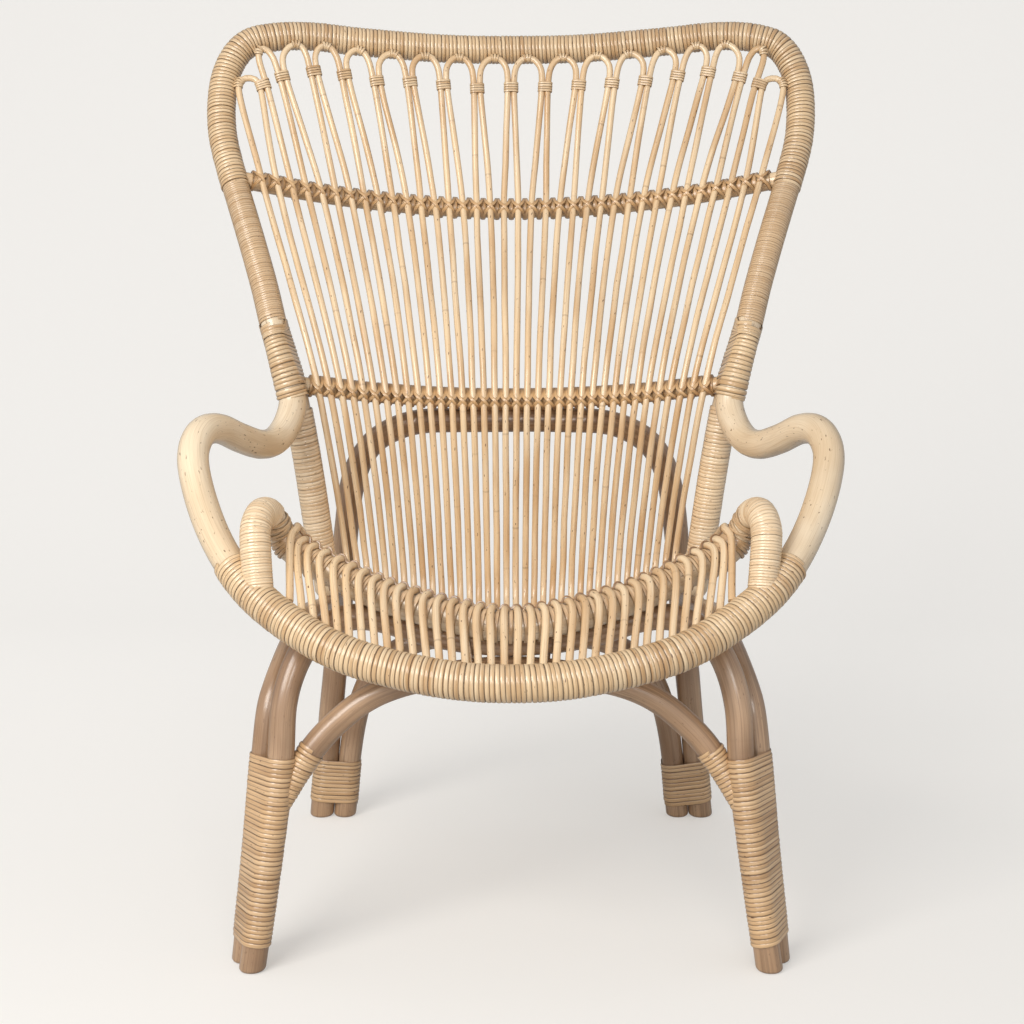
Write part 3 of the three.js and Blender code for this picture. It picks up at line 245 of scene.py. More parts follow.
# A smooth line through points, with frames carried along it from the middle
class Line:
    FINE_STEPS = 16

    def __init__(self, points, radii):
        padded = np.vstack([2 * points[0] - points[1], points, 2 * points[-1] - points[-2]])
        fine, wide = [], []
        for i in range(len(points) - 1):
            quad = padded[i:i + 4]
            knots = np.concatenate([[0], np.cumsum(np.sqrt(np.linalg.norm(np.diff(quad, axis=0), axis=1)))])
            t = np.linspace(knots[1], knots[2], self.FINE_STEPS, endpoint=False)[:, None]
            a = [((knots[n + 1] - t) * quad[n] + (t - knots[n]) * quad[n + 1]) / (knots[n + 1] - knots[n])
                 for n in range(3)]
            b = [((knots[n + 2] - t) * a[n] + (t - knots[n]) * a[n + 1]) / (knots[n + 2] - knots[n])
                 for n in range(2)]
            fine.append(((knots[2] - t) * b[0] + (t - knots[1]) * b[1]) / (knots[2] - knots[1]))
            wide.append(np.linspace(radii[i], radii[i + 1], self.FINE_STEPS, endpoint=False))
        fine = np.vstack(fine + [points[-1:]])
        wide = np.concatenate(wide + [radii[-1:]])
        far = np.concatenate([[0], np.cumsum(np.linalg.norm(np.diff(fine, axis=0), axis=1))])
        count = max(8, int(far[-1] / LINE_STEP))
        self.s = np.linspace(0, far[-1], count + 1)
        self.p = np.stack([np.interp(self.s, far, fine[:, k]) for k in range(3)], axis=1)
        self.r = np.interp(self.s, far, wide)
        self.t = unit(np.gradient(self.p, axis=0))
        self.length = far[-1]
        middle = len(self.s) // 2
        self.n = np.zeros_like(self.p)
        self.n[middle] = self.square(np.array([0.0, -1.0, 0.0]), middle)
        for i in range(middle + 1, len(self.s)):
            self.n[i] = self.square(self.n[i - 1], i)
        for i in range(middle - 1, -1, -1):
            self.n[i] = self.square(self.n[i + 1], i)
        self.b = np.cross(self.t, self.n)

    def square(self, v, i):
        return unit(v - self.t[i] * np.dot(v, self.t[i]))

    # Place, tangent, two normals and radius at distances along the line
    def at(self, s):
        s = np.asarray(s, float)
        pick = [np.stack([np.interp(s, self.s, a[:, k]) for k in range(3)], axis=-1)
                for a in (self.p, self.t, self.n, self.b)]
        beyond = np.minimum(s, 0) + np.maximum(s - self.length, 0)
        pick[0] = pick[0] + pick[1] * beyond[..., None]
        return pick[0], unit(pick[1]), unit(pick[2]), unit(pick[3]), np.interp(s, self.s, self.r)

    # Distance along the line of the place nearest to each point
    def nearest(self, points):
        points = np.atleast_2d(points)
        gaps = np.linalg.norm(points[:, None, :] - self.p[None, :, :], axis=2)
        k = gaps.argmin(axis=1)
        return np.clip(self.s[k] + ((points - self.p[k]) * self.t[k]).sum(axis=1), 0, self.length)

    # The stretch of the line that a node covers
    def span(self, node):
        corners = np.array([v.co[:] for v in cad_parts[node].data.vertices])
        reached = self.nearest(corners)
        return reached.min(), reached.max()


# Distances along two lines where they come closest, in one stretch of the first above a height
def closest(one, other, low=0.0, high=None, above=0.0):
    high = one.length if high is None else high
    first = np.nonzero((one.s >= low) & (one.s <= high) & (one.p[:, 2] > above))[0]
    gaps = np.linalg.norm(one.p[first][:, None] - other.p[None], axis=2)
    i, j = np.unravel_index(gaps.argmin(), gaps.shape)
    s = one.s[first[i]]
    for _ in range(3):
        place = other.nearest(one.at(s)[0])[0]
        s = one.nearest(other.at(place)[0])[0]
    return float(s), float(place)


# Colours are written as they show on a screen
def shade(*levels):
    return [((v / 255 + 0.055) / 1.055) ** 2.4 for v in levels]


# A rattan finish: a Principled material whose colour, gloss and bump follow the piece's UV map,
# across or round in U and metres along in V, and its place on the chair
class Finish:
    def __init__(self, name, pale, deep, mark, gloss, fibres, edge=0.0, joints=0.0, marks=0.5,
                 round_piece=False, flutes=0.0):
        self.material = bpy.data.materials.new(name)
        self.material.use_nodes = True
        self.tree = self.material.node_tree
        self.shader = self.tree.nodes["Principled BSDF"]
        pale, deep, mark = shade(*pale), shade(*deep), shade(*mark)
        place = self.add("ShaderNodeTexCoord")
        split = self.add("ShaderNodeSeparateXYZ")
        self.link(place.outputs["UV"], split.inputs[0])
        across, run = split.outputs["X"], split.outputs["Y"]
        fibre = self.add("ShaderNodeCombineXYZ")
        if round_piece:
            turn = self.scale(across, 2 * math.pi)
            self.link(self.scale(self.math("COSINE", turn), 0.32), fibre.inputs["X"])
            self.link(self.scale(self.math("SINE", turn), 0.32), fibre.inputs["Y"])
        else:
            self.link(across, fibre.inputs["X"])
        self.link(run, fibre.inputs["Z"])
        fibre = fibre.outputs[0]
        cloud = self.noise(place.outputs["Object"], (1, 1, 1), 8, 3)
        drift = self.noise(fibre, (0.8, 0.8, 9), 1, 2)
        grain = self.noise(fibre, (fibres, fibres, 16), 1, 3)
        fleck = self.noise(fibre, (fibres * 0.45, fibres * 0.45, 150), 1, 1)
        colour = self.blend(self.ramp(drift, 0.34, 0.66), pale, deep)
        warm = [c * k for c, k in zip(pale, (1.05, 1.0, 0.92))]
        colour = self.blend(self.scale(self.ramp(cloud, 0.4, 0.66), 0.6), colour, warm)
        dim = [c * k for c, k in zip(deep, (0.84, 0.8, 0.76))]
        colour = self.blend(self.scale(self.ramp(grain, 0.42, 0.75), 0.6), colour, dim)
        spots = self.scale(self.ramp(fleck, 0.69, 0.76), marks)
        height = self.scale(grain, 0.6)
        if flutes:
            flute = self.noise(fibre, (9, 9, 2.4), 1, 1)
            groove = self.scale(self.ramp(flute, 0.52, 0.66), 0.45 * flutes)
            colour = self.blend(groove, colour, [c * 0.72 for c in deep])
            height = self.math("ADD", height, self.scale(flute, 3.2 * flutes))
        if joints:
            where = self.math("DIVIDE", run, joints)
            toss = self.add("ShaderNodeTexWhiteNoise")
            toss.noise_dimensions = "1D"
            self.link(self.math("FLOOR", where), toss.inputs["W"])
            spot = self.math("MULTIPLY_ADD", toss.outputs["Value"], 0.7, 0.15)
            away = self.math("ABSOLUTE", self.math("SUBTRACT", self.math("FRACT", where), spot))
            ring = self.math("SUBTRACT", 1, self.ramp(away, 0.0004 / joints, 0.002 / joints))
            ring = self.math("MULTIPLY", ring, self.ramp(toss.outputs["Value"], 0.2, 0.9))
            spots = self.math("MAXIMUM", spots, self.scale(ring, 0.3))
            height = self.math("ADD", height, self.scale(ring, 0.7))
        colour = self.blend(spots, colour, mark)
        # Painted shade: a strip's colour darkens towards its two sides, where it meets the next turn, by the
        # share edge
        if edge:
            rim = self.ramp(self.math("ABSOLUTE", self.math("SUBTRACT", across, 0.5)), 0.3, 0.5)
            colour = self.blend(self.scale(rim, edge), colour, [c * 0.6 for c in mark])
        self.link(colour, self.shader.inputs["Base Color"])
        self.link(self.math("MULTIPLY_ADD", grain, 0.24, gloss - 0.1), self.shader.inputs["Roughness"])
        self.shader.inputs["Coat Weight"].default_value = 0.75
        self.shader.inputs["Coat Roughness"].default_value = 0.19
        bump = self.add("ShaderNodeBump")
        bump.inputs["Strength"].default_value = 0.4
        bump.inputs["Distance"].default_value = 0.0004
        self.link(height, bump.inputs["Height"])
        self.link(bump.outputs["Normal"], self.shader.inputs["Normal"])

    def add(self, kind):
        return self.tree.nodes.new(kind)

    def link(self, a, b):
        self.tree.links.new(a, b)

    def feed(self, socket, value):
        if hasattr(value, "links"):
            self.link(value, socket)
        else:
            socket.default_value = value

    def math(self, operation, *values):
        node = self.add("ShaderNodeMath")
        node.operation = operation
        for socket, value in zip(node.inputs, values):
            self.feed(socket, value)
        return node.outputs[0]

    def scale(self, value, share):
        return self.math("MULTIPLY", value, share)

    def noise(self, where, stretch, scale, detail):
        mapping = self.add("ShaderNodeMapping")
        mapping.inputs["Scale"].default_value = stretch
        self.link(where, mapping.inputs["Vector"])
        node = self.add("ShaderNodeTexNoise")
        node.inputs["Scale"].default_value = scale
        node.inputs["Detail"].default_value = detail
        self.link(mapping.outputs["Vector"], node.inputs["Vector"])
        return node.outputs["Fac"]

    def ramp(self, value, low, high):
        node = self.add("ShaderNodeMapRange")
        node.interpolation_type = "SMOOTHSTEP"
        self.feed(node.inputs["Value"], value)
        node.inputs["From Min"].default_value = low
        node.inputs["From Max"].default_value = high
        return node.outputs["Result"]

    def blend(self, share, one, two):
        node = self.add("ShaderNodeMix")
        node.data_type = "RGBA"
        self.feed(node.inputs["Factor"], share)
        for name, value in (("A", one), ("B", two)):
            socket = next(s for s in node.inputs if s.name == name and s.type == "RGBA")
            self.feed(socket, value if hasattr(value, "links") else (*value, 1))
        return next(s for s in node.outputs if s.type == "RGBA")


# Dark brown of specks and joints; darker still, it is the painted shade at a strip's sides
DARK = (96, 60, 32)
LEG_DARK = (84, 56, 36)
cane_finish = Finish("peeled cane", (233, 208, 171), (206, 169, 124), DARK, gloss=0.28, fibres=14,
                     joints=0.23, marks=0.9, round_piece=True)
pole_finish = Finish("peeled pole", (234, 216, 188), (214, 188, 152), DARK, gloss=0.28, fibres=46,
                     marks=0.8, round_piece=True)
leg_finish = Finish("leg pole", (184, 152, 121), (144, 112, 83), LEG_DARK, gloss=0.38, fibres=46,
                    joints=0.3, marks=0.4, round_piece=True, flutes=1.0)
# The edge share of each strip finish sets the painted shade along the strip's sides
wrap_finish = Finish("cane strip", (226, 200, 162), (188, 150, 105), DARK, gloss=0.34, fibres=6,
                     edge=0.74, marks=1.0)
leg_wrap_finish = Finish("leg strip", (216, 182, 140), (180, 142, 100), DARK, gloss=0.38, fibres=6,
                         edge=0.65, marks=1.0)
# The back rails' lashing strips are the same cane as the other strips, painted darker: painted shade of the
# rails behind the canes
shaded_lash_finish = Finish("lashing strip", (214, 178, 132), (182, 140, 92), DARK, gloss=0.36, fibres=6,
                     edge=0.55, marks=0.5)
side_wrap_finish = Finish("fine strip", (211, 182, 145), (187, 152, 111), DARK, gloss=0.34, fibres=5,
                          edge=0.4, marks=0.9)
dark_wrap_finish = Finish("dark strip", (186, 148, 106), (150, 110, 70), DARK, gloss=0.4, fibres=6,
                          edge=0.5, marks=0.6)
pale_wrap_finish = Finish("pale fine strip", (240, 217, 183), (216, 184, 144), DARK, gloss=0.3, fibres=5,
                          edge=0.28, marks=0.9)


# The angle in degrees from which an edge shows sharp, and the reach of the random shift of a piece's grain
SHARP_TURN = 50
GRAIN_SHIFT = 5


# A finished piece gets its material and its smooth shading, and rides on the chair's one body
def hand_over(piece, finish, nodes):
    piece.data.materials.append(finish.material)
    bpy.ops.object.select_all(action="DESELECT")
    bpy.context.view_layer.objects.active = piece
    piece.select_set(True)
    bpy.ops.object.shade_smooth_by_angle(angle=math.radians(SHARP_TURN))
    piece.select_set(False)
    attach(piece, "root")
    if nodes:
        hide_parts(*nodes)


# A pole or cane bent along a line: a curve with a round bevel made a mesh, its end caps joined
# and its feet cut level and rounded. Its radius is a little uneven, and a cane's line wavers
def bend(name, finish, line, nodes, facets=10, low=0.0, high=None, uneven=0.0, waver=0.0, footed=False):
    high = line.length if high is None else high
    s = np.linspace(low, high, max(8, round((high - low) / POLE_STEP)) + 1)
    if footed:
        # No ring stands near the level cut, so that its edge has room for the round
        height = line.at(s)[0][:, 2] - FOOT_LEVEL
        near = (np.abs(height) < FOOT_CLEAR) & (s > low) & (s < high)
        s = s[~near]
    count = len(s) - 1
    centres, _, n, b, radii = line.at(s)
    phase = chance.random() * 9
    radii = radii * (1 + uneven * np.sin(s * 41 + phase) * np.sin(s * 17 + 2 * phase))
    if waver:
        ease = np.minimum(1, np.minimum(s - low, high - s) / 0.05)[:, None]
        sway = n * wander(count + 1, waver, 9)[:, None]
        sway = sway + b * wander(count + 1, waver, 9)[:, None]
        centres = centres + ease * sway
    drawn = bpy.data.curves.new(name, "CURVE")
    drawn.dimensions = "3D"
    drawn.bevel_depth = 1
    drawn.bevel_resolution = facets
    drawn.use_fill_caps = True
    spline = drawn.splines.new("POLY")
    spline.points.add(count)
    spline.points.foreach_set("co", np.hstack([centres, np.ones((count + 1, 1))]).ravel())
    spline.points.foreach_set("radius", radii)
    piece = bpy.data.objects.new(name, drawn)
    bpy.context.scene.collection.objects.link(piece)
    bpy.context.view_layer.objects.active = piece
    piece.select_set(True)
    bpy.ops.object.convert(target="MESH")
    piece = bpy.context.object
    layer = piece.data.uv_layers[0]
    uv = np.empty(len(layer.data) * 2, np.float32)
    layer.data.foreach_get("uv", uv)
    turn, step = uv.reshape(-1, 2)[:, 1], uv.reshape(-1, 2)[:, 0]
    run = np.interp(step * count, np.arange(count + 1), s) + chance.random() * GRAIN_SHIFT
    uv = np.stack([turn, run], axis=1)
    layer.data.foreach_set("uv", uv.astype(np.float32).ravel())
    bpy.ops.object.mode_set(mode="EDIT")
    bpy.ops.mesh.select_all(action="SELECT")
    bpy.ops.mesh.remove_doubles(threshold=0.00001)
    if footed:
        bpy.ops.mesh.bisect(plane_co=(0, 0, FOOT_LEVEL), plane_no=(0, 0, 1), clear_inner=True, use_fill=True)
        bpy.ops.mesh.bevel(offset=FOOT_ROUND, segments=4)
    bpy.ops.mesh.select_all(action="SELECT")
    bpy.ops.mesh.normals_make_consistent(inside=False)
    bpy.ops.object.mode_set(mode="OBJECT")
    hand_over(piece, finish, nodes)


# Strips of cane in one mesh: rows of points along, columns across and back under, and end caps
class StripWork:
    def __init__(self):
        self.points, self.faces, self.uvs, self.count = [], [], [], 0

    def lay(self, rows, u, v, closed):
        count, columns = rows.shape[:2]
        ids = self.count + np.arange(count * columns).reshape(count, columns)
        self.points.append(rows.reshape(-1, 3))
        self.count += count * columns
        if closed:
            ids = np.vstack([ids, ids[:1]])
            v = np.append(v, v[-1] + (v[-1] - v[-2]))
        around = np.hstack([ids, ids[:, :1]])
        quads = np.stack([around[:-1, :-1], around[:-1, 1:], around[1:, 1:], around[1:, :-1]], axis=-1)
        uv = np.zeros(quads.shape + (2,))
        uv[:, :, (0, 3), 0] = u[:-1][None, :, None]
        uv[:, :, (1, 2), 0] = u[1:][None, :, None]
        uv[:, :, (0, 1), 1] = v[:-1][:, None, None]
        uv[:, :, (2, 3), 1] = v[1:][:, None, None]
        self.faces.extend(quads.reshape(-1, 4).tolist())
        self.uvs.append(uv.reshape(-1, 2))
        if not closed:
            for ring, end in ((ids[0][::-1], v[0]), (ids[-1], v[-1])):
                self.faces.append(ring.tolist())
                self.uvs.append(np.stack([u[:-1], np.full(columns, end)], axis=1))

    def piece(self, name, finish, slot, *nodes):
        points = np.clip(np.vstack(self.points), cad_box[0], cad_box[1])
        mesh = bpy.data.meshes.new(name)
        mesh.from_pydata(points.tolist(), [], self.faces)
        layer = mesh.uv_layers.new(name="UVMap")
        layer.data.foreach_set("uv", np.vstack(self.uvs).astype(np.float32).ravel())
        made = bpy.data.objects.new(name, mesh)
        bpy.context.scene.collection.objects.link(made)
        hand_over(made, finish, nodes)


# Strip sections, as shares of the width and rise: a wound strip, and the plainer one of ties
WOUND = np.array([(-0.5, 0.0), (-0.49, 0.5), (-0.3, 0.88), (0.0, 1.0), (0.3, 0.88), (0.49, 0.5), (0.5, 0.0)])
PLAIN = np.array([(-0.5, 0.0), (-0.4, 0.75), (0.0, 1.0), (0.4, 0.75), (0.5, 0.0)])


# A strip laid along points, its back on what it is wound on
def lay_strip(work, centres, outward, width, rise, section=PLAIN, closed=False):
    if closed:
        direction = unit(np.roll(centres, -1, axis=0) - np.roll(centres, 1, axis=0))
    else:
        direction = unit(np.gradient(centres, axis=0))
    outward = unit(outward - direction * (outward * direction).sum(axis=1, keepdims=True))
    lateral = np.cross(direction, outward)
    width = np.broadcast_to(width, len(centres))[:, None, None]
    rise = np.broadcast_to(rise, len(centres))[:, None, None]
    rows = (centres[:, None] + lateral[:, None] * section[None, ::-1, :1] * width
            + outward[:, None] * section[None, ::-1, 1:] * rise)
    run = np.concatenate([[0], np.cumsum(np.linalg.norm(np.diff(centres, axis=0), axis=1))])
    work.lay(rows, np.append(section[::-1, 0] + 0.5, 1.0), run + chance.random() * GRAIN_SHIFT, closed)


# Place and outward direction on a band pulled round two round poles, by the share of a turn
def band(a, b, ra, rb, tangent, share):
    apart = np.linalg.norm(b - a, axis=1)
    e = unit(b - a)
    e = unit(e - tangent * (e * tangent).sum(axis=1, keepdims=True))
    f = np.cross(tangent, e)
    beta = np.arccos(np.clip((ra - rb) / np.maximum(apart, 1e-9), -1, 1))
    straight = np.sqrt(np.maximum(apart ** 2 - (ra - rb) ** 2, 0))
    arc_b, arc_a = beta * rb, 2 * (math.pi - beta) * ra
    total = 2 * arc_b + arc_a + 2 * straight
    x = (share % 1) * total
    mirrored = x > total / 2
    x = np.where(mirrored, total - x, x)
    on_b = x < arc_b
    on_line = (~on_b) & (x < arc_b + straight)
    angle = np.where(on_b, x / rb, np.where(on_line, beta, beta + (x - arc_b - straight) / ra))
    slide = np.where(on_b, 0, np.where(on_line, (x - arc_b) / np.maximum(straight, 1e-9), 1))
    centre = b + (a - b) * slide[:, None]
    reach = rb + (ra - rb) * slide
    sign = np.where(mirrored, -1, 1)
    outward = e * np.cos(angle)[:, None] + f * (np.sin(angle) * sign)[:, None]
    return centre + outward * reach[:, None], outward


# Smooth play along a piece, so that no two stretches lie quite alike
def wander(count, reach, every):
    knots = max(4, int(count / every) + 3)
    marks = [chance.uniform(-reach, reach) for _ in range(knots)]
    return np.interp(np.linspace(0, knots - 1, count), np.arange(knots), marks)


# A binding: one strip wound round a pole, or round two poles side by side. A fade draws the second pole in
def wind(work, line, span, size, other=None, fade=None):
    low, high = span
    pitch, rise, lift = size
    turns = max(1, round((high - low) / pitch) - 1)
    pitch = (high - low) / (turns + 1)
    count = turns * TURN_STEPS + 1
    turn = np.arange(count) / TURN_STEPS
    s = low + pitch * (turn + 0.5) + wander(count, pitch * PITCH_PLAY, TURN_STEPS * 0.8)
    p, t, n, b, r = line.at(s)
    r = r + PLAY + lift
    if other is None:
        angle = turn * 2 * math.pi
        outward = n * np.cos(angle)[:, None] + b * np.sin(angle)[:, None]
        centres = p + outward * r[:, None]
    else:
        q, _, _, _, rq = other.at(other.nearest(p))
        rq = rq + PLAY + lift
        if fade is not None:
            share = fade(s)
            q = p + (q - p) * share[:, None]
            rq = r + (rq - r) * share
        centres, outward = band(p, q, r, rq, t, turn)
    space = np.full(count, pitch)
    if count > 2 * TURN_STEPS:
        gap = np.linalg.norm(centres[2 * TURN_STEPS:] - centres[:-2 * TURN_STEPS], axis=1) / 2
        space = np.concatenate([np.full(TURN_STEPS, gap[0]), gap, np.full(TURN_STEPS, gap[-1])])
    rise = rise * (1 + wander(count, RISE_PLAY, TURN_STEPS * 0.5))
    steps = np.arange(count)
    ends = np.minimum(1, np.minimum(steps, steps[::-1]) / (TURN_STEPS * 0.3) + END_RISE)
    lay_strip(work, centres, outward, space * STRIP_SHARE, rise * ends, WOUND)


# One closed turn of strip round a pole, which may lean along it towards a heading
def turn_round(work, line, s, reach, width, rise, lean=0.0, heading=0.0):
    angle = np.linspace(0, 2 * math.pi, TIE_STEPS, endpoint=False)
    p, _, n, b, r = line.at(s + lean * np.cos(angle - heading))
    outward = n * np.cos(angle)[:, None] + b * np.sin(angle)[:, None]
    lay_strip(work, p + outward * (r + reach)[:, None], outward, width, rise, closed=True)


# Closed turns of strip round two canes side by side
def tie(work, one, s_one, two, s_two, offsets):
    share = np.arange(TIE_STEPS) / TIE_STEPS
    p, t, _, _, _ = one.at(s_one)
    way = math.copysign(1, float(np.dot(t, two.at(s_two)[1])))
    for offset in offsets:
        a, tangent, _, _, ra = one.at(s_one + offset)
        b, _, _, _, rb = two.at(s_two + way * offset)
        rows = [np.repeat(v[None], TIE_STEPS, axis=0) for v in (a, b, tangent)]
        centres, outward = band(rows[0], rows[1], ra + PLAY, rb + PLAY, rows[2], share)
        lay_strip(work, centres, outward, TIE_WIDTH, TIE_RISE, closed=True)


# A closed smooth loop through points, in a few steps between each two
def smooth_loop(points, steps):
    t = (np.arange(steps) / steps)[:, None]
    a, b, c, d = (np.roll(points, k, axis=0)[:, None] for k in (1, 0, -1, -2))
    rows = b + 0.5 * t * (c - a + t * (2 * a - 5 * b + 4 * c - d + t * (3 * (b - c) + d - a)))
    return rows.reshape(-1, 3)


# A pole's ends run on, pared, and close in on the middle of the pole that they meet
def sink_ends(centres, radii, met, reach, pared):
    tips = ((centres[0], -1), (centres[-1], 1))
    ends = [met.at(met.nearest(tip)[0] + reach * way)[0] for tip, way in tips]
    tip = radii[:1] * pared
    return np.vstack([ends[:1], centres, ends[1:]]), np.concatenate([tip, radii, tip])


# Centre lines of every pole and cane, read off the frame
FOOTED = ("front_leg_arch", "back_bow", "rear_leg_arch", "side_bearer_left", "side_bearer_right")
THICK_POLES = ("back_hoop", "arm_and_rim_pole", *FOOTED, "crest_rail", "front_brace")
RAILS = ("upper_back_rail", "middle_back_rail", "rear_seat_rail")
lines = {}
for name in THICK_POLES + RAILS:
    rings = tube_rings(name, RAIL_SIDES if name in RAILS else POLE_SIDES,
                       coped=name not in ("front_brace", "crest_rail"))
    if name == "front_brace":
        rings = sink_ends(*rings, lines["front_leg_arch"], BRACE_SINK, BRACE_PARED)
    if name == "crest_rail":
        rings = sink_ends(*rings, lines["arm_and_rim_pole"], -HOOK_SHIFT, HOOK_PARED)
    if name in FOOTED:
        rings = run_down(*rings)
    lines[name] = Line(*rings)
hoop, arm, crest = lines["back_hoop"], lines["arm_and_rim_pole"], lines["crest_rail"]
front, bow, rear, brace = (lines[n] for n in ("front_leg_arch", "back_bow", "rear_leg_arch", "front_brace"))
canes = [Line(*tube_rings(f"hairpin_cane_{i:02d}", CANE_SIDES)) for i in range(1, 19)]
legs = [(cane, half * cane.length / 2, (half + 1) * cane.length / 2) for cane in canes for half in (0, 1)]


# Poles and canes; coped ends run on a little into what they meet
def make_poles():
    for name in ("back_hoop", "arm_and_rim_pole"):
        bend(f"{name}_pole", pole_finish, lines[name], [name], uneven=0.012)
    for name in ("front_leg_arch", "back_bow", "rear_leg_arch"):
        bend(f"{name}_pole", leg_finish, lines[name], [name], uneven=0.02, footed=True)
    for name, _ in SIDES:
        line = lines[f"side_bearer_{name}"]
        foot_first = line.p[0][2] < line.p[-1][2]
        low, high = (0, line.length + BEARER_OVERRUN) if foot_first else (-BEARER_OVERRUN, line.length)
        bend(f"side_bearer_{name}_pole", leg_finish, line, [f"side_bearer_{name}"],
             low=low, high=high, uneven=0.02, footed=True)
    for name, finish, slot, more in (
            ("front_brace", leg_finish, "leg_pole", 0),
            ("rear_seat_rail", leg_finish, "leg_pole", RAIL_OVERRUN),
            ("upper_back_rail", cane_finish, "cane", RAIL_OVERRUN),
            ("middle_back_rail", cane_finish, "cane", RAIL_OVERRUN),
            ("crest_rail", pole_finish, "peeled_pole", 0)):
        bend(f"{name}_pole", finish, lines[name], [name], facets=8, low=-more,
             high=lines[name].length + more, uneven=0.012)
    for i, cane in enumerate(canes, 1):
        bend(f"hairpin_cane_{i:02d}_peeled", cane_finish, cane, [f"hairpin_cane_{i:02d}"], facets=4,
             low=-CANE_OVERRUN, high=cane.length + CANE_OVERRUN, uneven=0.03, waver=0.0005)


# Windings that stand for the bindings of the frame
def make_windings():
    def wound(name, finish, node, line, size, other=None, fade=None, stretch=(0, 0)):
        work = StripWork()
        low, high = line.span(node)
        wind(work, line, (max(low - stretch[0], 0), min(high + stretch[1], line.length)), size, other, fade)
        work.piece(name, finish, "binding", node)

    wound("hoop_winding", wrap_finish, "hoop_binding", hoop, HOOP_WINDING)
    wound("rim_winding", wrap_finish, "rim_binding", arm, RIM_WINDING)
    for name, side in SIDES:
        wound(f"hoop_side_winding_{name}", side_wrap_finish, f"hoop_side_binding_{name}",
              hoop, SIDE_WINDING, stretch=(SIDE_STRETCH, SIDE_STRETCH))
        wound(f"hoop_foot_winding_{name}", pale_wrap_finish, f"hoop_foot_binding_{name}",
              hoop, FOOT_WINDING)
        down = (HOOK_STRETCH, 0) if side < 0 else (0, HOOK_STRETCH)
        wound(f"hook_winding_{name}", pale_wrap_finish, f"hook_binding_{name}",
              crest, HOOK_WINDING, stretch=down)
        sunk = (BRACE_STRETCH, 0) if side < 0 else (0, BRACE_STRETCH)
        wound(f"brace_winding_{name}", leg_wrap_finish, f"brace_binding_{name}",
              brace, BRACE_WINDING, stretch=sunk)
        wound(f"front_leg_winding_{name}", leg_wrap_finish, f"front_leg_binding_{name}",
              front, FRONT_LEG_WINDING, lines[f"side_bearer_{name}"])
        wound(f"rear_leg_winding_{name}", leg_wrap_finish, f"rear_leg_binding_{name}",
              bow, REAR_LEG_WINDING, rear)
        wound(f"brace_lashing_{name}_strip", leg_wrap_finish, f"brace_lashing_{name}",
              front, BRACE_WINDING, brace)
        low, high = hoop.span(f"arm_joint_binding_{name}")
        armed = float(hoop.nearest(arm.p[0] if side < 0 else arm.p[-1])[0])
        shut = high if side < 0 else low

        # Past the arm's end the turns close in on the hoop
        def fade(s, armed=armed, shut=shut):
            return np.clip((shut - s) / (shut - armed) * (1 - JOINT_SHUT) + JOINT_SHUT, JOINT_SHUT, 1)

        wound(f"arm_joint_winding_{name}", wrap_finish, f"arm_joint_binding_{name}",
              hoop, JOINT_WINDING, arm, fade)


# A closed turn round a cane that dives between the turns of the hoop's winding
def tie_into_winding(work, cane, s_cane):
    a, tangent, _, _, ra = cane.at(s_cane)
    p, _, _, _, r = hoop.at(hoop.nearest(a)[0])
    b = p + unit(a - p) * (r + HOOP_RISE - TIE_DIVE)
    rows = [np.repeat(v[None], TIE_STEPS, axis=0) for v in (a, b, tangent)]
    share = np.arange(TIE_STEPS) / TIE_STEPS
    centres, outward = band(rows[0], rows[1], ra + PLAY, TIE_DIVE, rows[2], share)
    lay_strip(work, centres, outward, TIE_WIDTH, TIE_RISE, closed=True)


# The pointed end of a tie that stands up beside the crown
def tie_ear(work, cane, s_cane, s_hoop):
    a, _, _, _, ra = cane.at(s_cane)
    p, along, _, _, _ = hoop.at(s_hoop)
    along = along if along[0] > 0 else -along
    away = unit(a - p)
    up = unit(np.cross(along, away)) * (1 if np.cross(along, away)[2] > 0 else -1)
    share = np.linspace(0, 1, 6)[:, None]
    root = a + away * (ra * 0.4) + up * (ra * 0.6) - along * 0.003
    centres = root - along * share * EAR_LENGTH * 0.8 + up * share * EAR_LENGTH * 0.5
    centres = centres - away * share ** 2 * 0.0016
    facing = np.repeat((away + up)[None], 6, axis=0)
    lay_strip(work, centres, facing, EAR_WIDTH * (1.05 - share[:, 0]), EAR_RISE)


# Ties of neighbouring canes at their necks, and of the canes' crowns and outer ends to the hoop
def make_ties():
    necks = StripWork()
    for one, two in zip(canes[:-1], canes[1:]):
        s_one, s_two = closest(one, two, low=one.length / 2, above=CROWN_LEVEL)
        tie(necks, one, s_one, two, s_two, NECK_TURNS)
    necks.piece("neck_ties", wrap_finish, "binding")
    crowns = StripWork()
    for cane in canes[1:-1]:
        s_cane, s_hoop = closest(cane, hoop, above=CROWN_LEVEL)
        for offset in CROWN_TURNS:
            tie_into_winding(crowns, cane, s_cane + offset)
        tie_ear(crowns, cane, s_cane, s_hoop)
    for cane in (canes[0], canes[-1]):
        s_cane, _ = closest(cane, hoop, above=OUTER_LEVEL)
        for offset in NECK_TURNS:
            tie_into_winding(crowns, cane, s_cane + offset)
    crowns.piece("crown_ties", wrap_finish, "binding")


# Where the canes' legs cross a rail: distance along it, and the way from the rail to the cane
def crossings(rail):
    found = []
    for cane, low, high in legs:
        s_cane, s_rail = closest(cane, rail, low, high)
        found.append((s_rail, cane.at(s_cane)[0] - rail.at(s_rail)[0]))
    return sorted(found, key=lambda place: place[0])


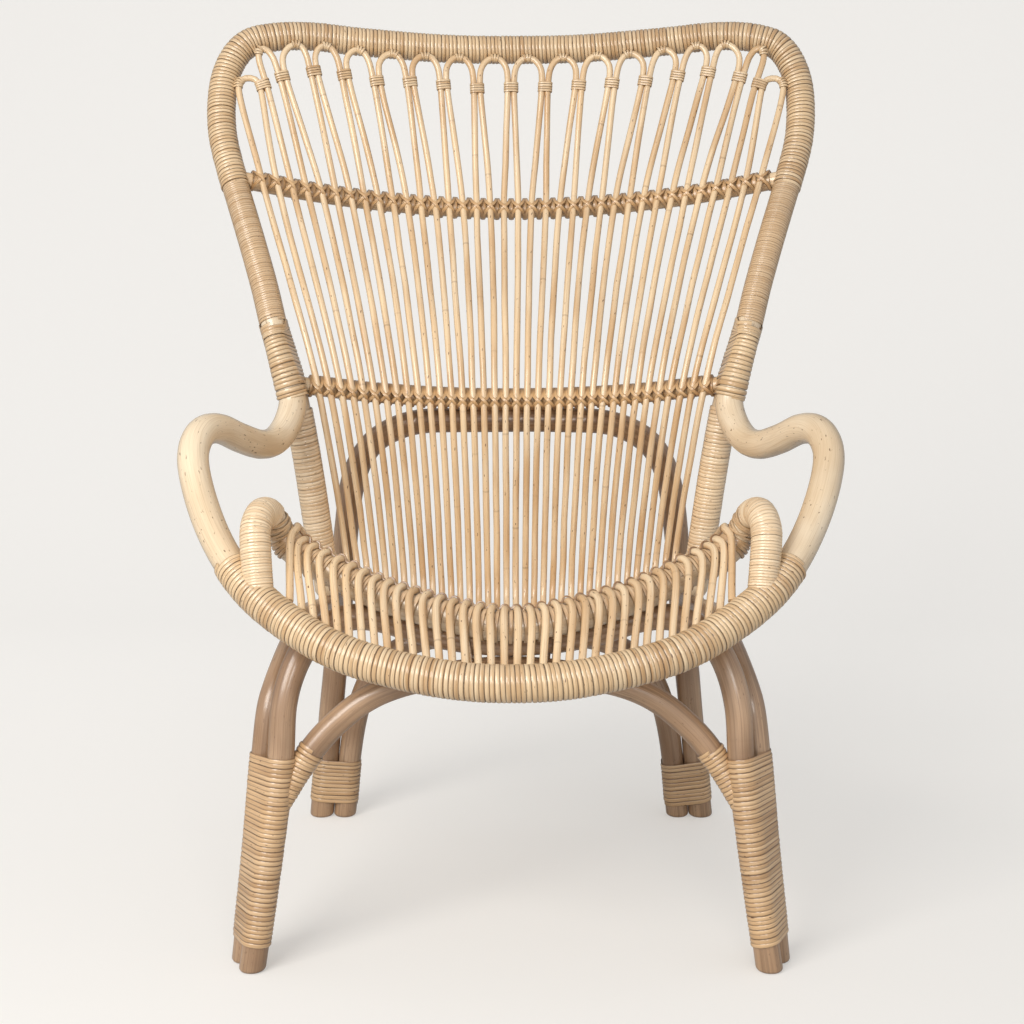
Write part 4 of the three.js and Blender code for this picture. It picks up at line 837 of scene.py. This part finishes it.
# A lashing that crosses itself over a cane and goes round behind the rail, the falling pass on top.
# Its points are given along the rail, out towards the cane, and up
def cross_lashing(work, rail, s, way, reach):
    p, t, _, _, r = rail.at(s)
    t = t if t[0] > 0 else -t
    way = way - t * np.dot(way, t)
    outward = unit(way)
    up = np.cross(outward, t)
    up = up if up[2] > 0 else -up
    front = np.linalg.norm(way) + CANE_RADIUS * 1.04 + 0.0005
    side = np.linalg.norm(way) + 0.0012
    deep = r + BEAD_RISE * 0.55
    one_pass = [(0, front, -0.0042),
                (0.0048, side, -0.0092),
                (reach * 0.94, r * 0.8, -0.0108),
                (reach, 0, -deep),
                (reach, -deep, 0),
                (reach, 0, deep + 0.0012),
                (reach * 0.94, r * 0.86, 0.0094),
                (0.0048, side, 0.0012)]
    over = [0.0013, 0.0007, 0, 0, 0, 0, 0.0003, 0]
    under = [0, 0, 0, 0, 0, 0, 0, 0.0007]
    places = [(x, y + lift, z) for (x, y, z), lift in zip(one_pass, over)]
    places += [(-x, y + lift, z) for (x, y, z), lift in zip(one_pass, under)]
    loop = smooth_loop(np.array(places), 2)
    radial = np.stack([np.where(loop[:, 1] > r, loop[:, 0] * 0.5, 0), loop[:, 1], loop[:, 2]], axis=1)
    axes = np.array([t, outward, up])
    lay_strip(work, p + loop @ axes, radial @ axes, CROSS_WIDTH, CROSS_RISE, closed=True)


# Lashed back rails: beads of strip between the canes, crossed lashings over them, collars at the ends
def make_rail_lashings():
    for name in ("upper_back_rail", "middle_back_rail"):
        rail = lines[name]
        places = crossings(rail)
        beads, crosses = StripWork(), StripWork()
        for (a, _), (b, _) in zip(places[:-1], places[1:]):
            width = min(0.45 * (b - a), BEAD_WIDTH)
            turn_round(beads, rail, (a + b) / 2 + chance.uniform(-0.0006, 0.0006), PLAY, width,
                       BEAD_RISE, lean=chance.uniform(-0.0008, 0.0008))
        first, last = places[0][0], places[-1][0]
        pitch = (last - first) / (len(places) - 1)
        for s, way in places:
            cross_lashing(crosses, rail, s, way, min(0.42 * pitch, CROSS_REACH))
        for low, high in ((COLLAR_INSET, first - LASHED_ROOM),
                          (last + LASHED_ROOM, rail.length - COLLAR_INSET)):
            turns = max(1, round((high - low) / COLLAR_PITCH))
            for k in range(turns):
                turn_round(beads, rail, low + (high - low) * (k + 0.5) / turns, PLAY,
                           (high - low) / turns * 0.96, BEAD_RISE)
        beads.piece(f"{name}_beads", shaded_lash_finish, "binding")
        crosses.piece(f"{name}_crossed_lashings", shaded_lash_finish, "binding")


# Crest rail: turns between the canes, a scalloped strip over them, and wraps at the hooks' shoulders
def make_crest_lashings():
    work = StripWork()
    places = sorted(s for s, _ in crossings(crest))
    for a, b in zip(places[:-1], places[1:]):
        room = b - a - 2 * CANE_RADIUS - 0.001
        turns = max(1, round(room / CREST_PITCH))
        for k in range(turns):
            turn_round(work, crest, (a + b) / 2 + room * ((k + 0.5) / turns - 0.5), PLAY, room / turns * 0.97,
                       CREST_RISE, lean=chance.uniform(-0.0006, 0.0006), heading=chance.random() * 6)
    for end, way in ((places[0], -1), (places[-1], 1)):
        for k in range(SHOULDER_TURNS):
            turn_round(work, crest, end + way * (0.006 + SHOULDER_PITCH * k), PLAY + 0.0004 * (k % 3),
                       SHOULDER_PITCH, CREST_RISE, lean=chance.uniform(0.002, 0.006),
                       heading=chance.random() * 6)
    work.piece("crest_rail_turns", side_wrap_finish, "binding")
    # The strip lies on the rail's top, and climbs over each cane's bend as far as it has to
    bends = []
    for cane, low, high in legs:
        s_cane, _ = closest(cane, crest, low, high)
        bends.append(cane.at(np.arange(s_cane - 0.024, s_cane + 0.024, 0.0008))[0])
    s = np.arange(places[0] - LASHED_ROOM, places[-1] + LASHED_ROOM, SCALLOP_STEP)
    p, t, _, _, r = crest.at(s)
    leaning_back = np.array([0, 0.28, 0.96])
    outward = unit(leaning_back - t * (leaning_back * t).sum(axis=1, keepdims=True))
    away = np.vstack(bends)[None] - p[:, None]
    along, up, aside = ((away * axis[:, None]).sum(axis=2) for axis in (t, outward, np.cross(t, outward)))
    room = (CANE_RADIUS + 0.0002) ** 2 - along ** 2 - aside ** 2
    top = np.where(room > 0, up + np.sqrt(np.maximum(room, 0)), 0).max(axis=1)
    reach = np.maximum(top, r + CREST_RISE + PLAY)
    for _ in range(3):
        reach = np.maximum(top, np.convolve(np.pad(reach, 1, mode="edge"), (0.25, 0.5, 0.25), "valid"))
    scallop = StripWork()
    lay_strip(scallop, p + outward * reach[:, None], outward, SCALLOP_WIDTH, SCALLOP_RISE)
    scallop.piece("crest_scalloped_strip", dark_wrap_finish, "binding")


make_poles()
make_windings()
make_ties()
make_rail_lashings()
make_crest_lashings()

# Studio paper: its size, the place of its middle, how high it goes up at the back and how wide it bends,
# and its glow as the camera sees it, from the floor in front to the wall
PAPER_SIZE = 14
PAPER_MIDDLE = -3.4
PAPER_HEIGHT = 7
PAPER_BEND = 2.2
GLOW_FROM = -0.9
GLOW_TO = 1.3
FLOOR_GLOW = 0.36
WALL_GLOW = 0.545


# Floor that sweeps up into a backdrop behind the chair
def make_floor():
    bpy.ops.mesh.primitive_plane_add(size=PAPER_SIZE, location=(0, PAPER_MIDDLE, 0))
    floor = bpy.context.object
    floor.name = "floor"
    bpy.ops.object.mode_set(mode="EDIT")
    bpy.ops.mesh.select_all(action="DESELECT")
    bpy.ops.object.mode_set(mode="OBJECT")
    for edge in floor.data.edges:
        edge.select = all(floor.data.vertices[i].co.y > 0 for i in edge.vertices)
    bpy.ops.object.mode_set(mode="EDIT")
    bpy.ops.mesh.select_mode(type="EDGE")
    bpy.ops.mesh.extrude_region_move(TRANSFORM_OT_translate={"value": (0, 0, PAPER_HEIGHT)})
    bpy.ops.object.mode_set(mode="OBJECT")
    bpy.ops.object.transform_apply(location=True)
    fold = floor.modifiers.new("fold", "BEVEL")
    fold.width = PAPER_BEND
    fold.segments = 40
    fold.limit_method = "ANGLE"
    bpy.ops.object.modifier_apply(modifier="fold")
    bpy.ops.object.shade_smooth()
    paper = bpy.data.materials.new("studio paper")
    paper.use_nodes = True
    nodes, links = paper.node_tree.nodes, paper.node_tree.links
    shader = nodes["Principled BSDF"]
    shader.inputs["Base Color"].default_value = (*shade(197, 195, 191), 1)
    shader.inputs["Roughness"].default_value = 0.9
    shader.inputs["Emission Color"].default_value = (*shade(243, 240, 235), 1)
    # The camera sees the paper paler towards the back and up the sweep, and that lights nothing
    place = nodes.new("ShaderNodeTexCoord")
    split = nodes.new("ShaderNodeSeparateXYZ")
    rise = nodes.new("ShaderNodeMapRange")
    rise.interpolation_type = "SMOOTHSTEP"
    rise.inputs["From Min"].default_value = GLOW_FROM
    rise.inputs["From Max"].default_value = GLOW_TO
    rise.inputs["To Min"].default_value = FLOOR_GLOW
    rise.inputs["To Max"].default_value = WALL_GLOW
    seen = nodes.new("ShaderNodeLightPath")
    glow = nodes.new("ShaderNodeMath")
    glow.operation = "MULTIPLY"
    links.new(place.outputs["Object"], split.inputs[0])
    links.new(split.outputs["Y"], rise.inputs["Value"])
    links.new(seen.outputs["Is Camera Ray"], glow.inputs[0])
    links.new(rise.outputs["Result"], glow.inputs[1])
    links.new(glow.outputs[0], shader.inputs["Emission Strength"])
    floor.data.materials.append(paper)
    floor.select_set(False)


make_floor()

# Soft light from all round, a shade cool
world = bpy.data.worlds.new("studio")
bpy.context.scene.world = world
world.use_nodes = True
surround = world.node_tree.nodes["Background"]
surround.inputs["Color"].default_value = (0.93, 0.95, 1.0, 1)
surround.inputs["Strength"].default_value = 0.58


# A square lamp turned towards a place on the chair
def softbox(name, place, size, power, colour, aim):
    data = bpy.data.lights.new(name, "AREA")
    data.size = size
    data.energy = power
    data.color = colour
    lamp = bpy.data.objects.new(name, data)
    bpy.context.scene.collection.objects.link(lamp)
    lamp.location = place
    lamp.rotation_euler = (Vector(aim) - lamp.location).to_track_quat("-Z", "Y").to_euler()


softbox("key softbox", (-1.4, -2.2, 1.9), 1.6, 64, (1.0, 0.97, 0.93), (0, 0, 0.55))
softbox("front softbox", (0.35, -2.7, 1.3), 0.7, 13, (1.0, 0.98, 0.95), (0, 0, 0.5))

# Camera: focal length and width of the picture in pixels, its place, and its dip below level in degrees
FOCAL_PIXELS = 1800
PICTURE_PIXELS = 1024
SENSOR = 36
CAMERA_PLACE = (0.0012, -2.134, 0.802)
CAMERA_DIP = 9.25
camera_data = bpy.data.cameras.new("camera")
camera_data.lens = FOCAL_PIXELS * SENSOR / PICTURE_PIXELS
camera_data.sensor_width = SENSOR
camera = bpy.data.objects.new("camera", camera_data)
bpy.context.scene.collection.objects.link(camera)
camera.location = CAMERA_PLACE
camera.rotation_euler = (math.radians(90 - CAMERA_DIP), 0, 0)
bpy.context.scene.camera = camera

bpy.context.scene.view_settings.view_transform = "Standard"
